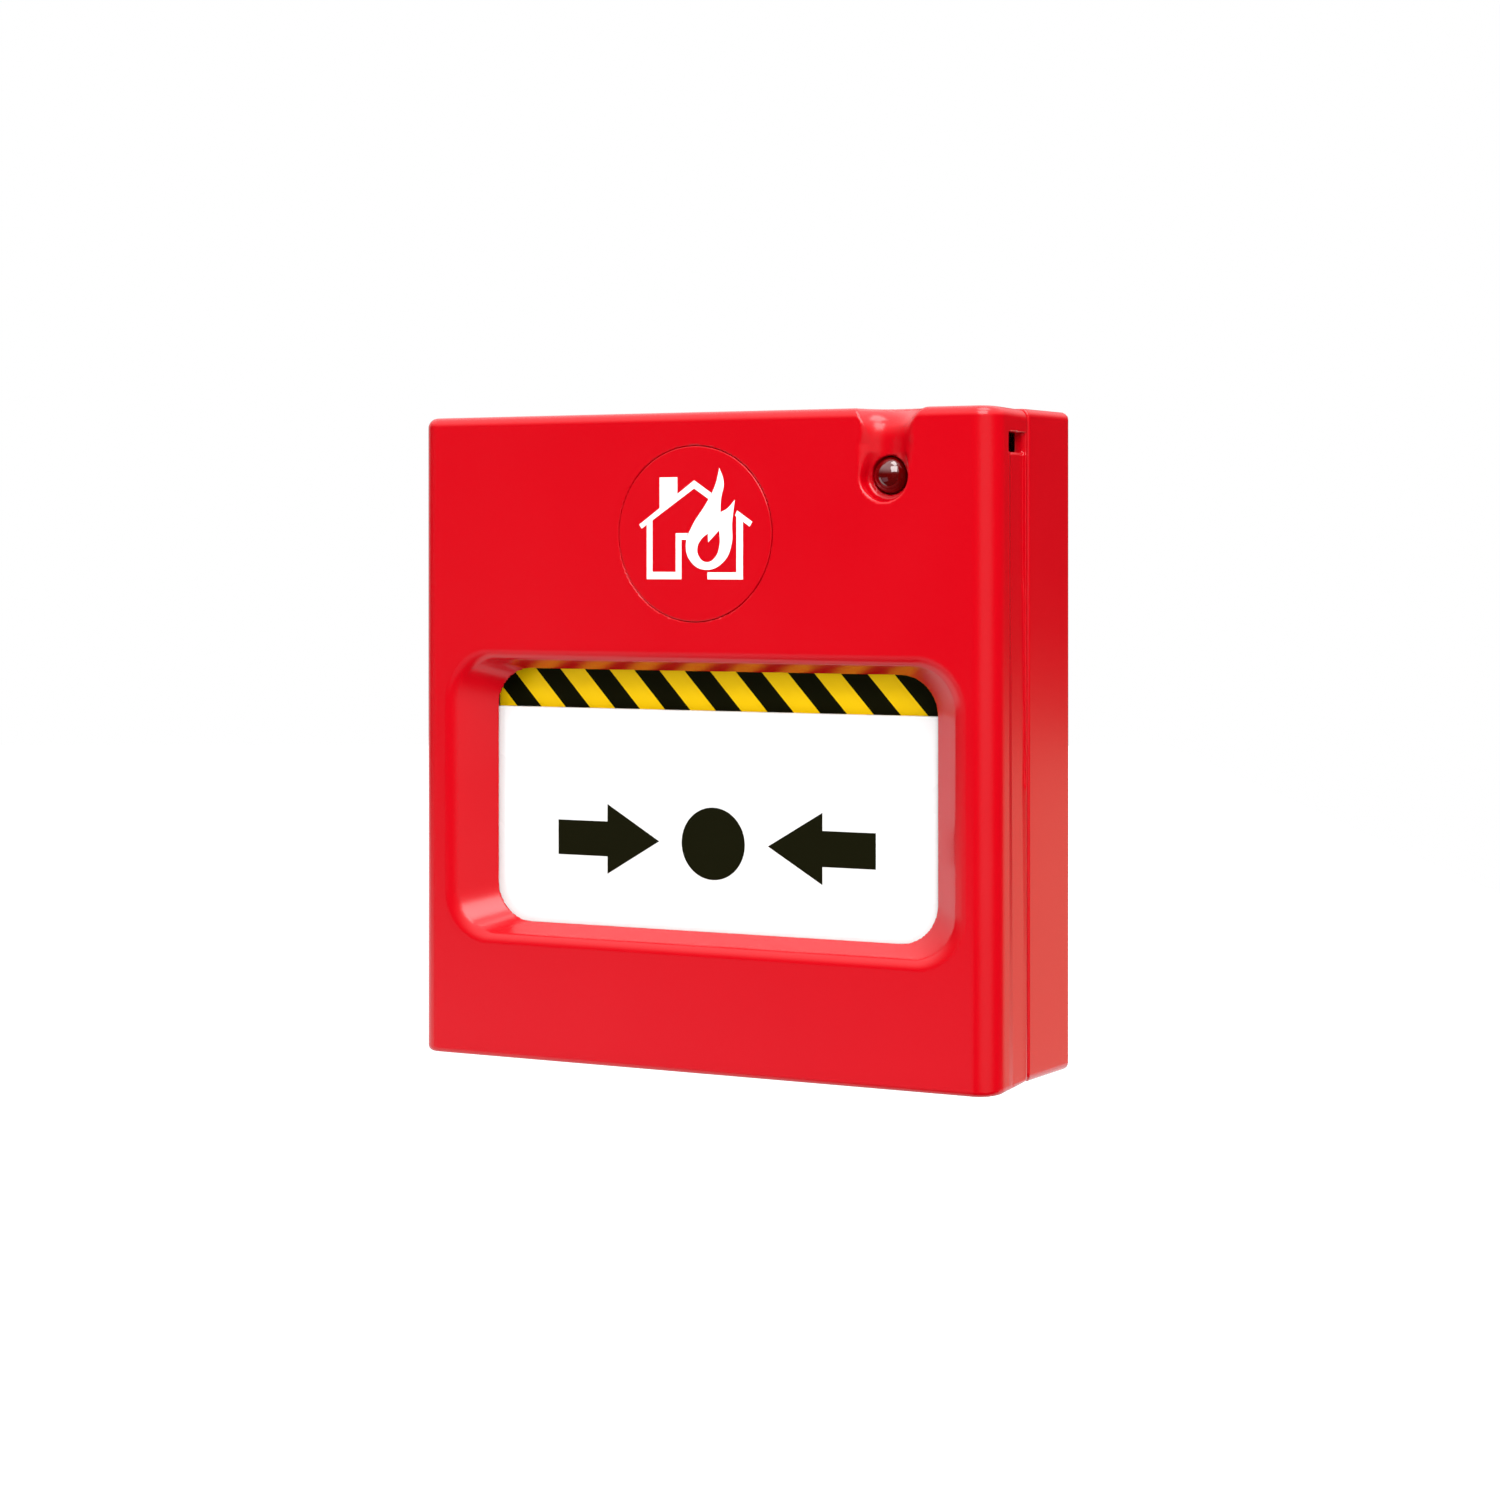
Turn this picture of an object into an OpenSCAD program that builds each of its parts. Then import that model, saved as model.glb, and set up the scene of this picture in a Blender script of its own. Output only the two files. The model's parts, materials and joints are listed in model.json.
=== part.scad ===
// Resettable manual call point for a fire alarm, shown operated: the plate has dropped 6 mm
// and the hazard strip shows above it. +X is right, +Z is up and +Y points into the wall.
// The origin is the centre of the back face, which lies flat on the wall.

/* [Casing] */
// Width of the front cover
body_w = 90; // [86:1:96]
// Height of the front cover
body_h = 90; // [86:1:96]
// Depth from the wall to the front face
body_d = 25; // [24.5:0.1:26]
// Radius of the cover's front vertical edges
cover_side_r = 3.5; // [2:0.5:4]
// Radius of the cover's front top and bottom edges
cover_top_r = 1.2; // [0.8:0.1:1.6]
// Corner radius of the casing seen from the front
corner_r = 1.8; // [1:0.2:3]
// Wall thickness of the mouldings
wall = 2; // [1.8:0.1:2.2]

/* [Press window] */
// Width of the window at its back edge
window_w = 69; // [66:1:70]
// Height of the window's top edge above the centre
window_top = 9.3; // [9:0.1:9.6]
// Height of the window's bottom edge below the centre
window_bottom = 26.35; // [26:0.1:27]
// Corner radius of the window
window_r = 5.5; // [4:0.5:6]
// Thickness of the operating plate
plate_t = 1.2; // [1:0.1:1.3]
// Diameter of the press dot
dot_d = 10; // [8:0.5:12]

/* [Mechanism] */
// Lift that resets the plate
reset_travel = 6; // [5:0.5:6]
// Travel of the plate when it is pressed
press_travel = 0.8; // [0.5:0.1:0.8]
// Turn of the microswitch lever over the whole lift
lever_turn = 9.5; // [9:0.1:10]

/* [Indicator] */
// Diameter of the light emitting diode
led_d = 5; // [4.8:0.1:5]
// Place of the diode to the right of the centre
led_x = 28.8; // [27:0.1:30]
// Height of the diode above the centre
led_z = 36; // [35:0.1:36.5]
// Diameter of the pictogram disc
disc_d = 24; // [20:1:24]
// Height of the pictogram disc above the centre
disc_z = 28.3; // [27:0.1:29]

/* [Fixing] */
// Distance between the two wall screws
fixing_pitch = 60; // [58:1:62]
// Radius of the wall screw holes
fixing_r = 2.2; // [2:0.1:2.4]
// Radius of the cable entry in the grommet
cable_r = 3.5; // [3:0.1:4]

/* [Hidden] */
$fn = 48;
eps = 0.01;

// Depths, negative towards the front
front_y = -body_d;
seam_y = -13.8;
box_front_y = -13.4;
cover_inner_y = front_y + wall;
ring_y = front_y + 4.6;
disc_hole_y = front_y + 1.2;
disc_boss_y = front_y + 3.8;
led_boss_y = front_y + 4.1;
plate_y = ring_y + 0.65;
plate_back_y = plate_y + plate_t;
strip_y = plate_back_y + press_travel + 0.35;
strip_t = 0.6;
chassis_y = strip_y + strip_t;
chassis_t = 1.8;
chassis_back_y = chassis_y + chassis_t;
carriage_y = -17.2;
carriage_back_y = -15.2;
boss_back_y = -13.9;
pcb_y = -5.6;
pcb_t = 1.6;
floor_y = -2.2;

// Half sizes
half_w = body_w / 2;
half_h = body_h / 2;
box_half_w = half_w - 0.3;
box_half_h = half_h - 0.1;
chassis_half_w = half_w - wall - 0.7;
chassis_half_h = half_h - wall - 0.7;

// Window's funnel and the ring behind it: how far each stands out sideways, above and below
funnel_flare = [4.9, 1.7, 2.25];
ring_margin = [6.5, 3.7, 4.2];

// Channel in front of the diode, and how wide it is where it leaves over the top edge
channel_r = 4.1;
channel_depth = 2.3;
channel_mouth = [-4.4, 5.5];
led_boss = [-5.5, 6.5];
disc_stem_r = 2;

// Slot for the reset key in the cover's bottom wall
key_half_w = 3.2;
key_y = [-17.2, -14.8];

// Cover hinge, whose axis is the centre of the box's rolled lower edge
roll_r = 1.4;
hinge_y = box_front_y + roll_r;
hinge_z = roll_r - box_half_h;
hinge_pin_r = 0.8;
hinge_bore_r = 0.86;
hook_xs = [-28, 28];
hook_w = 7;
hook_r = 1.35;
notch_w = 7.8;

// Side slots for the cover's catches, at the head of a shallow groove
slot_z = 39.3;
slot_h = 2.3;
groove_y = -20.1;
groove_w = 5.1;
groove_depth = 0.4;

// Sliding parts
pocket_half_w = 30.4;
pocket_top = 2.6;
pocket_bottom = -36.5;
carriage_top = -4;
carriage_bottom = -33;
tongue_x = 32.2;
tongue_y = [-15.9, -14.3];
rod_x = 24;
rod_y = -15.7;
rod_r = 0.75;
spring_seat_z = -24;
pegs = [[-17, -10], [17, -10], [-17, -29], [17, -29]];
peg_r = 1.5;
peg_well_y = -16;
dot_z = -14.4;
plate_half_w = 37;
plate_top = window_top + 0.6 - reset_travel;
plate_bottom = -window_bottom - 2.15 - reset_travel;

// Microswitch
switch_top_y = -11;
switch_z = [-5.5, 7.3];
lever_y = -11.45;
lever_z = 6.3;
lever_len = 10.5;
lever_t = 0.3;
plunger_z = 2.1;
cam_slope = 0.275;
cam_root_y = -15.3;
cam_tip_y = -13.6;
cam_len = 6.3;
cheek_y = -13.2;
dowels = [[pcb_y - 2.4, 4.9], [pcb_y - 2.4, -1.6]];

// Fasteners and terminals
chassis_screws_at = [[-38, 22], [38, 22], [-38, -38], [38, -38]];
pcb_posts = [[-21, 12], [-21, 37], [29, 12]];
detent_at = [-10, 6.5];
ways = 4;
way_pitch = 5;
terminal_x = -20;
terminal_z = 17;
terminal_h = 9;
terminal_y = -13;
lead_end_y = pcb_y + pcb_t + 0.7;
led_y = front_y + 3;
grommet_at = [0, -24];

// Black bars on the hazard strip
bar_depth = 0.2;
bar_pitch = 8.06;
bar_start = -5.0;
bar_lean = 0.92;
strip_half_w = 36.5;
strip_bottom = 2.6;
strip_top = 11.2;

// ---------- helpers ----------

// A block between two corners
module block(low, high) {
    translate(low) cube(high - low);
}

// A cylinder along Y from y0 to y1, centred on [x, z]
module rod_along_y(at, y0, y1, r) {
    translate([at[0], y0, at[1]]) rotate([-90, 0, 0]) cylinder(h = y1 - y0, r = r);
}

// A cylinder along X from x0 to x1, centred on [y, z]
module rod_along_x(at, x0, x1, r) {
    translate([x0, at[0], at[1]]) rotate([0, 90, 0]) cylinder(h = x1 - x0, r = r);
}

// An outline drawn in X and Z, pushed from y0 to y1
module plate_xz(y0, y1) {
    translate([0, y1, 0]) rotate([90, 0, 0]) linear_extrude(y1 - y0) children();
}

// An outline drawn in Y and Z, pushed from x0 to x1
module plate_yz(x0, x1) {
    translate([x0, 0, 0]) rotate([90, 0, 90]) linear_extrude(x1 - x0) children();
}

// A rectangle between two corners with round corners
module round_rect(low, high, r) {
    difference() {
        translate(low) square(high - low);
        for (x = [0, 1], z = [0, 1]) {
            corner = [x == 0 ? low[0] : high[0], z == 0 ? low[1] : high[1]];
            inward = [1 - 2 * x, 1 - 2 * z];
            difference() {
                translate(corner - [r * x, r * z]) square(r);
                translate(corner + r * inward) circle(r);
            }
        }
    }
}

// A helical spring along +Z from 0 to height, as one swept tube
module coil(turns, radius, wire_r, height) {
    rings = 14;
    sides = 6;
    steps = turns * rings;
    rise = height - 2 * wire_r;
    points = [
        for (i = [0:steps], j = [0:sides - 1])
            let (a = 360 * i / rings, b = 360 * j / sides, r = radius + wire_r * cos(b))
                [r * cos(a), r * sin(a), wire_r + rise * i / steps + wire_r * sin(b)]
    ];
    skin = [
        for (i = [0:steps - 1], j = [0:sides - 1], half = [0, 1])
            let (k = (j + 1) % sides, a = i * sides, b = a + sides)
                half == 0 ? [a + j, a + k, b + k] : [a + j, b + k, b + j]
    ];
    near_end = [for (j = [0:sides - 1]) sides - 1 - j];
    far_end = [for (j = [0:sides - 1]) steps * sides + j];
    polyhedron(points, concat(skin, [near_end, far_end]), convexity = 8);
}

// A slotted screw along -Y: its head's underside at y, its shank behind it
module slot_screw(at, y, head_r, head_t, shank_r, shank_len) {
    difference() {
        rod_along_y(at, y - head_t, y, head_r);
        block([at[0] - head_r - 1, y - head_t - 1, at[1] - 0.3],
              [at[0] + head_r + 1, y - head_t * 0.5, at[1] + 0.3]);
    }
    rod_along_y(at, y - eps, y + shank_len, shank_r);
}

// ---------- casing ----------

// A vertical bar with the cover's plan outline, round at both front edges
module cover_plan() {
    difference() {
        translate([-half_w, front_y]) square([body_w, seam_y - front_y]);
        for (s = [-1, 1]) {
            difference() {
                translate([s * (half_w - cover_side_r / 2), front_y + cover_side_r / 2])
                    square(cover_side_r + eps, center = true);
                translate([s * (half_w - cover_side_r), front_y + cover_side_r])
                    circle(cover_side_r);
            }
        }
    }
}

// The cover's side outline in Y and Z, round at the front top and bottom edges
module cover_side() {
    difference() {
        translate([front_y, -half_h]) square([seam_y - front_y, body_h]);
        for (s = [-1, 1]) {
            difference() {
                translate([front_y + cover_top_r / 2, s * (half_h - cover_top_r / 2)])
                    square(cover_top_r + eps, center = true);
                translate([front_y + cover_top_r, s * (half_h - cover_top_r)])
                    circle(cover_top_r);
            }
        }
    }
}

module cover_outside() {
    intersection() {
        translate([0, 0, -half_h]) linear_extrude(body_h) cover_plan();
        plate_yz(-half_w, half_w) cover_side();
        plate_xz(front_y, seam_y)
            round_rect([-half_w, -half_h], [half_w, half_h], corner_r);
    }
}

// The window's funnel, wide at the front face and narrow at the back of its ring
module window_funnel() {
    hull() {
        plate_xz(ring_y, ring_y + 1)
            round_rect([-window_w / 2, -window_bottom], [window_w / 2, window_top], window_r);
        plate_xz(front_y - 0.5, front_y)
            round_rect([-window_w / 2 - funnel_flare[0], -window_bottom - funnel_flare[2]],
                       [window_w / 2 + funnel_flare[0], window_top + funnel_flare[1]],
                       window_r + 0.5);
    }
}

// The round-ended channel that runs from the diode up and over the top edge
module led_channel() {
    plate_xz(front_y - 1, front_y + channel_depth) {
        translate([led_x, led_z]) circle(channel_r);
        polygon([[led_x - channel_r, led_z], [led_x + channel_r, led_z],
                 [led_x + channel_mouth[1], half_h + 1],
                 [led_x + channel_mouth[0], half_h + 1]]);
    }
}

module cover_hooks() {
    for (x = hook_xs) {
        difference() {
            union() {
                rod_along_x([hinge_y, hinge_z], x - hook_w / 2, x + hook_w / 2, hook_r);
                block([x - hook_w / 2, hinge_y - 3.2, hinge_z - hook_r],
                      [x + hook_w / 2, hinge_y, hinge_z - 0.15]);
            }
            rod_along_x([hinge_y, hinge_z], x - hook_w, x + hook_w, hinge_bore_r);
            translate([x, hinge_y, hinge_z]) rotate([45, 0, 0])
                block([-hook_w, 0, -0.65], [hook_w, 3, 0.65]);
        }
    }
}

module front_cover() {
    color("#d8101c")
    difference() {
        union() {
            difference() {
                cover_outside();
                block([-half_w + wall, cover_inner_y, -half_h + wall],
                      [half_w - wall, 0, half_h - wall]);
            }
            plate_xz(cover_inner_y - eps, ring_y)
                round_rect([-window_w / 2 - ring_margin[0], -window_bottom - ring_margin[2]],
                           [window_w / 2 + ring_margin[0], window_top + ring_margin[1]],
                           window_r + 2);
            block([led_x + led_boss[0], cover_inner_y - eps, led_z + led_boss[0]],
                  [led_x + led_boss[1], led_boss_y, half_h - wall + eps]);
            plate_xz(cover_inner_y - eps, disc_boss_y)
                translate([0, disc_z]) circle(disc_d / 2 + 1);
            cover_hooks();
        }
        window_funnel();
        led_channel();
        rod_along_y([led_x, led_z], front_y, 0, led_d / 2 + 0.35);
        rod_along_y([0, disc_z], front_y - 1, disc_hole_y, disc_d / 2 + 0.15);
        rod_along_y([0, disc_z], front_y, disc_boss_y + 2, disc_stem_r + 0.05);
        for (s = [-1, 1]) {
            translate([s * half_w, groove_y + groove_w / 2, (slot_z - half_h) / 2])
                cube([2 * groove_depth, groove_w, slot_z + half_h + 1], center = true);
            translate([s * half_w, groove_y + groove_w / 2, slot_z + slot_h / 2])
                cube([3 * wall, groove_w, slot_h], center = true);
        }
        block([-key_half_w, key_y[0], -half_h - 1], [key_half_w, key_y[1], -half_h + wall + 1]);
    }
}

module pictogram_disc() {
    color("#d8101c")
    difference() {
        union() {
            rod_along_y([0, disc_z], front_y, disc_hole_y - 0.05, disc_d / 2);
            rod_along_y([0, disc_z], front_y + 1, disc_boss_y + 0.5, disc_stem_r);
        }
        plate_xz(front_y - 1, front_y + 0.2) translate([0, disc_z]) pictogram_outline();
    }
}

// A house with a chimney, and a flame over its doorway
module pictogram_outline() {
    difference() {
        union() {
            difference() {
                union() {
                    polygon([[0, 7.2], [9, 1.4], [8.5, 0.6], [0, 6.0], [-8.5, 0.6], [-9, 1.4]]);
                    translate([-5.4, 2.8]) square([2.8, 4.9]);
                    translate([-7.4, -6.2]) square([14.8, 7.8]);
                }
                polygon([[0, 6.0], [6.5, 1.8], [6.5, -5.2], [-6.5, -5.2], [-6.5, 1.8]]);
                translate([-2, -7]) square([4.1, 3]);
            }
            translate([-2.9, -6.2]) square([0.9, 6.2]);
            translate([-2.9, -0.9]) square([3, 0.9]);
        }
        offset_flame(0.5);
    }
    difference() {
        offset_flame(0);
        polygon([[3.9, 0.3], [3.9, -1.8], [3.1, -3.2], [1.8, -3.8], [0.7, -2.9],
                 [0.5, -1.8], [1.2, -0.7], [2.1, 0], [2.3, -1]]);
    }
}

// The flame's outline, grown sideways by a margin so that it stands clear of the house
module offset_flame(margin) {
    translate([2.4, 0]) scale([1 + margin / 4, 1]) translate([-2.4, 0])
        polygon([[4.0, 8.8], [4.6, 6.8], [4.2, 4.2], [4.0, 2.7], [5.2, 3.6], [6.2, 4.8],
                 [6.2, 2.9], [5.9, -1.2], [5.3, -2.9], [3.4, -4.5], [1.7, -4.9], [0.1, -4.2],
                 [-1.0, -2.8], [-1.3, -1.0], [-0.7, 0.7], [0.7, 2.9], [2.4, 5.2]]);
}

module pictogram() {
    color("white")
    plate_xz(front_y, front_y + 0.2) translate([0, disc_z]) pictogram_outline();
}

// Screw pillar inside the box
module pillar(at) {
    rod_along_y(at, chassis_back_y, floor_y + eps, 3);
}

module back_box() {
    color("#c80f18")
    difference() {
        union() {
            difference() {
                plate_xz(box_front_y, 0)
                    round_rect([-box_half_w, -box_half_h], [box_half_w, box_half_h], corner_r);
                plate_xz(box_front_y - 1, floor_y)
                    round_rect([-box_half_w + wall, -box_half_h + wall],
                               [box_half_w - wall, box_half_h - wall], 1);
                // The lower front edge is rolled about the hinge axis
                difference() {
                    block([-half_w, hinge_y - 2, hinge_z - 2], [half_w, hinge_y, hinge_z]);
                    rod_along_x([hinge_y, hinge_z], -half_w, half_w, roll_r);
                }
                for (x = hook_xs) {
                    block([x - notch_w / 2, box_front_y - 1, -half_h],
                          [x + notch_w / 2, hinge_y + 2, hinge_z + 3]);
                }
            }
            for (x = hook_xs) {
                rod_along_x([hinge_y, hinge_z], x - notch_w / 2 - 1, x + notch_w / 2 + 1,
                            hinge_pin_r);
            }
            for (at = chassis_screws_at) pillar(at);
            for (s = [-1, 1]) {
                rod_along_y([s * fixing_pitch / 2, 0], floor_y - 1.2, floor_y + eps, 5);
            }
        }
        for (at = chassis_screws_at) rod_along_y(at, chassis_back_y - 1, -6, 1.25);
        for (s = [-1, 1]) {
            rod_along_y([s * fixing_pitch / 2, 0], floor_y - 2, 1, fixing_r);
        }
        rod_along_y(grommet_at, floor_y - 1, 1, 5.5);
    }
}

module cable_grommet() {
    color("#1c1c1e")
    difference() {
        union() {
            rod_along_y(grommet_at, floor_y - 1.8, 0, 5.4);
            rod_along_y(grommet_at, floor_y - 1.8, floor_y - 0.05, 7);
        }
        rod_along_y(grommet_at, floor_y - 3, 1, cable_r);
    }
}

// ---------- chassis and what it holds ----------

// A cheek beside the microswitch, clear of the sliding carriage
module switch_cheek(x0) {
    plate_yz(x0, x0 + 1.5)
        polygon([[chassis_back_y - eps, pocket_top], [cheek_y, pocket_top], [cheek_y, -6],
                 [pcb_y - 0.9, -6], [pcb_y - 0.9, 8.5], [chassis_back_y - eps, 8.5]]);
}

module rod_boss(x, z0, z1) {
    block([x - 2.5, chassis_y, z0], [x + 2.5, rod_y + 1.5, z1]);
}

module chassis() {
    color("#e9e7e2")
    difference() {
        union() {
            difference() {
                plate_xz(chassis_y, chassis_back_y)
                    round_rect([-chassis_half_w, -chassis_half_h],
                               [chassis_half_w, chassis_half_h], 3);
                block([-pocket_half_w, chassis_y - 1, pocket_bottom],
                      [pocket_half_w, chassis_back_y + 1, pocket_top]);
            }
            // Rails beside the pocket
            for (s = [-1, 1]) {
                x0 = s > 0 ? pocket_half_w : -pocket_half_w - 4;
                block([x0, chassis_y, pocket_bottom], [x0 + 4, box_front_y, pocket_top]);
                switch_cheek(s > 0 ? 3.1 : -4.6);
                rod_boss(s * rod_x, pocket_top - eps, 6);
                rod_boss(s * rod_x, -39, pocket_bottom + eps);
                // Stops under the carriage
                block([s * 12 - 2, chassis_y, pocket_bottom - eps],
                      [s * 12 + 2, chassis_back_y, carriage_bottom - 0.1]);
                // Stiffening ribs near the side edges
                block([s * 40 - 0.5, chassis_y - 1.4, -30], [s * 40 + 0.5, chassis_y + eps, 15]);
            }
            for (at = pcb_posts) rod_along_y(at, chassis_back_y - eps, pcb_y, 2.4);
            for (x = [-36, 12]) {
                block([x, chassis_y - 1.4, 40.2], [x + 10, chassis_y + eps, 41.2]);
            }
        }
        // Grooves for the carriage's tongues
        for (s = [-1, 1]) {
            x0 = s > 0 ? pocket_half_w - 1 : -tongue_x - 0.4;
            block([x0, tongue_y[0] - 0.1, pocket_bottom + 1],
                  [x0 + tongue_x + 0.4 - pocket_half_w + 1, tongue_y[1] + 0.1, pocket_top + 1]);
            translate([s * rod_x, rod_y, -50]) cylinder(h = 60, r = rod_r + 0.03);
        }
        for (at = chassis_screws_at) rod_along_y(at, chassis_y - 2, 0, 1.4);
        for (at = pcb_posts) rod_along_y(at, pcb_y - 5.5, pcb_y + 1, 0.95);
        for (at = dowels) rod_along_x(at, -6, 6, 0.97);
        rod_along_y([led_x, led_z], chassis_y - 1, 0, 3.3);
        rod_along_y(detent_at, chassis_y + 0.1, 0, 1.05);
        // Window over the terminals
        block([terminal_x - 1.5, chassis_y - 1, terminal_z - 2],
              [terminal_x + ways * way_pitch + 1.5, 0, terminal_z + terminal_h + 1.5]);
        // Way in for the reset key
        block([-key_half_w - 0.2, chassis_y - 1, -half_h],
              [key_half_w + 0.2, 0, pocket_bottom + eps]);
    }
}

module chassis_screws() {
    color("silver")
    for (at = chassis_screws_at) slot_screw(at, chassis_y - 0.02, 2.4, 1.2, 1.2, 9);
}

module circuit_board() {
    color("#1f6b3a")
    difference() {
        plate_xz(pcb_y, pcb_y + pcb_t) {
            round_rect([-25, 9], [33, 40.5], 1.5);
            translate([-8, -8]) square([16, 18]);
        }
        for (at = pcb_posts) rod_along_y(at, pcb_y - 1, 0, 1.1);
        for (dx = [-1.27, 1.27]) rod_along_y([led_x + dx, led_z], pcb_y - 1, 0, 0.4);
        for (z = [-4, 1, 6]) block([-0.8, pcb_y - 1, z - 0.5], [0.8, 0, z + 0.5]);
    }
}

module pcb_screws() {
    color("silver")
    mirror([0, 1, 0])
        for (at = pcb_posts) slot_screw(at, -(pcb_y + pcb_t) - 0.02, 1.9, 1.1, 0.9, 5);
}

// An axial resistor lying along X, standing just proud of the board
module resistor(x, z) {
    rod_along_x([pcb_y - 1.5, z], x - 3, x + 3, 1.15);
    rod_along_x([pcb_y - 1.5, z], x - 5, x + 5, 0.3);
    for (s = [-1, 1]) rod_along_y([x + s * 4.6, z], pcb_y - 1.5, pcb_y, 0.22);
}

module resistors() {
    color("#d8c69a")
    for (i = [0:2]) resistor(10, 18 + 4 * i);
}

module capacitor() {
    color("#20242c")
    rod_along_y([21, 20], pcb_y - 8, pcb_y, 3);
}

module driver_chip() {
    color("#222222")
    union() {
        block([8, pcb_y - 1.7, 32.5], [17, pcb_y - 0.2, 36.5]);
        for (i = [0:6], s = [-1, 1]) {
            block([8.6 + 1.25 * i, pcb_y - 0.9, 34.5 + s * 2.7 - 0.75],
                  [9.1 + 1.25 * i, pcb_y, 34.5 + s * 2.7 + 0.75]);
        }
    }
}

function way_x(i) = terminal_x + way_pitch * (i + 0.5);
clamp_z = terminal_z + 4.5;
clamp_y = [-10.5, -6.9];

module terminal_block() {
    color("#2f7d4a")
    difference() {
        block([terminal_x, terminal_y, terminal_z],
              [terminal_x + ways * way_pitch, pcb_y, terminal_z + terminal_h]);
        for (i = [0:ways - 1]) {
            rod_along_y([way_x(i), clamp_z], terminal_y - 1, clamp_y[0] + 0.5, 1.8);
            block([way_x(i) - 1.9, clamp_y[0] - 0.1, clamp_z - 2.6],
                  [way_x(i) + 1.9, clamp_y[1] + 0.1, clamp_z + 2.6]);
            translate([way_x(i), clamp_y[1] - 1.5, terminal_z - 1]) cylinder(h = 4, r = 1.5);
        }
    }
}

module terminal_screws() {
    color("silver")
    for (i = [0:ways - 1]) slot_screw([way_x(i), clamp_z], clamp_y[0] - 0.4, 1.65, 1.4, 1.1, 2);
}

module terminal_clamps() {
    color("#b9b9b4")
    for (i = [0:ways - 1]) {
        difference() {
            block([way_x(i) - 1.8, clamp_y[0], clamp_z - 2.5],
                  [way_x(i) + 1.8, clamp_y[1], clamp_z + 2.5]);
            rod_along_y([way_x(i), clamp_z], clamp_y[0] - 1, clamp_y[0] + 1.5, 1.15);
            block([way_x(i) - 1.2, clamp_y[0] + 1.3, clamp_z - 3],
                  [way_x(i) + 1.2, clamp_y[1] - 0.5, clamp_z + 3]);
        }
    }
}

module microswitch_body() {
    color("#26262a")
    difference() {
        union() {
            block([-2.9, switch_top_y, switch_z[0]], [2.9, pcb_y, switch_z[1]]);
            for (s = [-1, 1]) {
                block([s * 2.45 - 0.45, lever_y - 0.7, lever_z - 0.8],
                      [s * 2.45 + 0.45, switch_top_y + eps, lever_z + 0.8]);
            }
        }
        for (at = dowels) rod_along_x(at, -4, 4, 0.97);
        rod_along_x([lever_y, lever_z], -4, 4, 0.42);
        block([-1.1, switch_top_y - 1, plunger_z - 0.7],
              [1.1, switch_top_y + 2.4, plunger_z + 0.7]);
    }
}

module microswitch_dowels() {
    color("silver")
    for (at = dowels) rod_along_x(at, -4.5, 4.5, 0.94);
}

module microswitch_terminals() {
    color("#c9b25a")
    for (z = [-4, 1, 6]) {
        block([-0.6, pcb_y, z - 0.3], [0.6, lead_end_y + 0.3, z + 0.3]);
    }
}

module microswitch_plunger() {
    color("#b4342c")
    union() {
        rod_along_x([switch_top_y - 0.5, plunger_z], -1, 1, 0.6);
        block([-1, switch_top_y - 0.5, plunger_z - 0.6],
              [1, switch_top_y + 1.5, plunger_z + 0.6]);
    }
}

module microswitch_lever() {
    color("silver")
    translate([0, lever_y, lever_z]) rotate([-lever_turn, 0, 0]) {
        rod_along_x([0, 0], -2.8, 2.8, 0.36);
        block([-1.9, -lever_t, -lever_len], [1.9, 0, 0]);
    }
}

module status_led() {
    color("#8c0a0a")
    union() {
        rod_along_y([led_x, led_z], led_y, led_y + 3 + eps, led_d / 2);
        translate([led_x, led_y, led_z]) sphere(led_d / 2);
        rod_along_y([led_x, led_z], led_y + 3, led_y + 4, 2.9);
    }
}

module led_leads() {
    color("silver")
    for (dx = [-1.27, 1.27]) rod_along_y([led_x + dx, led_z], led_y + 4, lead_end_y, 0.25);
}

module led_spacer() {
    color("#18181a")
    difference() {
        rod_along_y([led_x, led_z], led_y + 4, pcb_y, 2.9);
        for (dx = [-1.27, 1.27]) rod_along_y([led_x + dx, led_z], led_y, 0, 0.4);
    }
}

// One slanted black bar, cut to the strip
module hazard_bar(i) {
    x = bar_start + bar_pitch * i;
    lean = bar_lean * (strip_top - window_top);
    drop = bar_lean * (window_top - strip_bottom);
    intersection() {
        polygon([[x - lean, strip_top], [x + bar_pitch / 2 - lean, strip_top],
                 [x + bar_pitch / 2 + drop, strip_bottom], [x + drop, strip_bottom]]);
        translate([-strip_half_w, strip_bottom])
            square([2 * strip_half_w, strip_top - strip_bottom]);
    }
}

module hazard_bars(y0) {
    for (i = [-5:4]) plate_xz(y0, strip_y + bar_depth) hazard_bar(i);
}

module hazard_strip() {
    color("#f6c800")
    difference() {
        block([-strip_half_w, strip_y, strip_bottom], [strip_half_w, chassis_y, strip_top]);
        hazard_bars(strip_y - 1);
    }
}

module hazard_stripes() {
    color("#141414")
    hazard_bars(strip_y);
}

module guide_rods() {
    color("silver")
    for (s = [-1, 1]) translate([s * rod_x, rod_y, -38.6]) cylinder(h = 44, r = rod_r);
}

module drive_spring(s) {
    color("#9a9a9e")
    translate([s * rod_x, rod_y, spring_seat_z + 0.05])
        coil(10, 1.3, 0.25, pocket_top - spring_seat_z - 0.1);
}

module drive_spring_left() {
    drive_spring(-1);
}

module drive_spring_right() {
    drive_spring(1);
}

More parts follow.
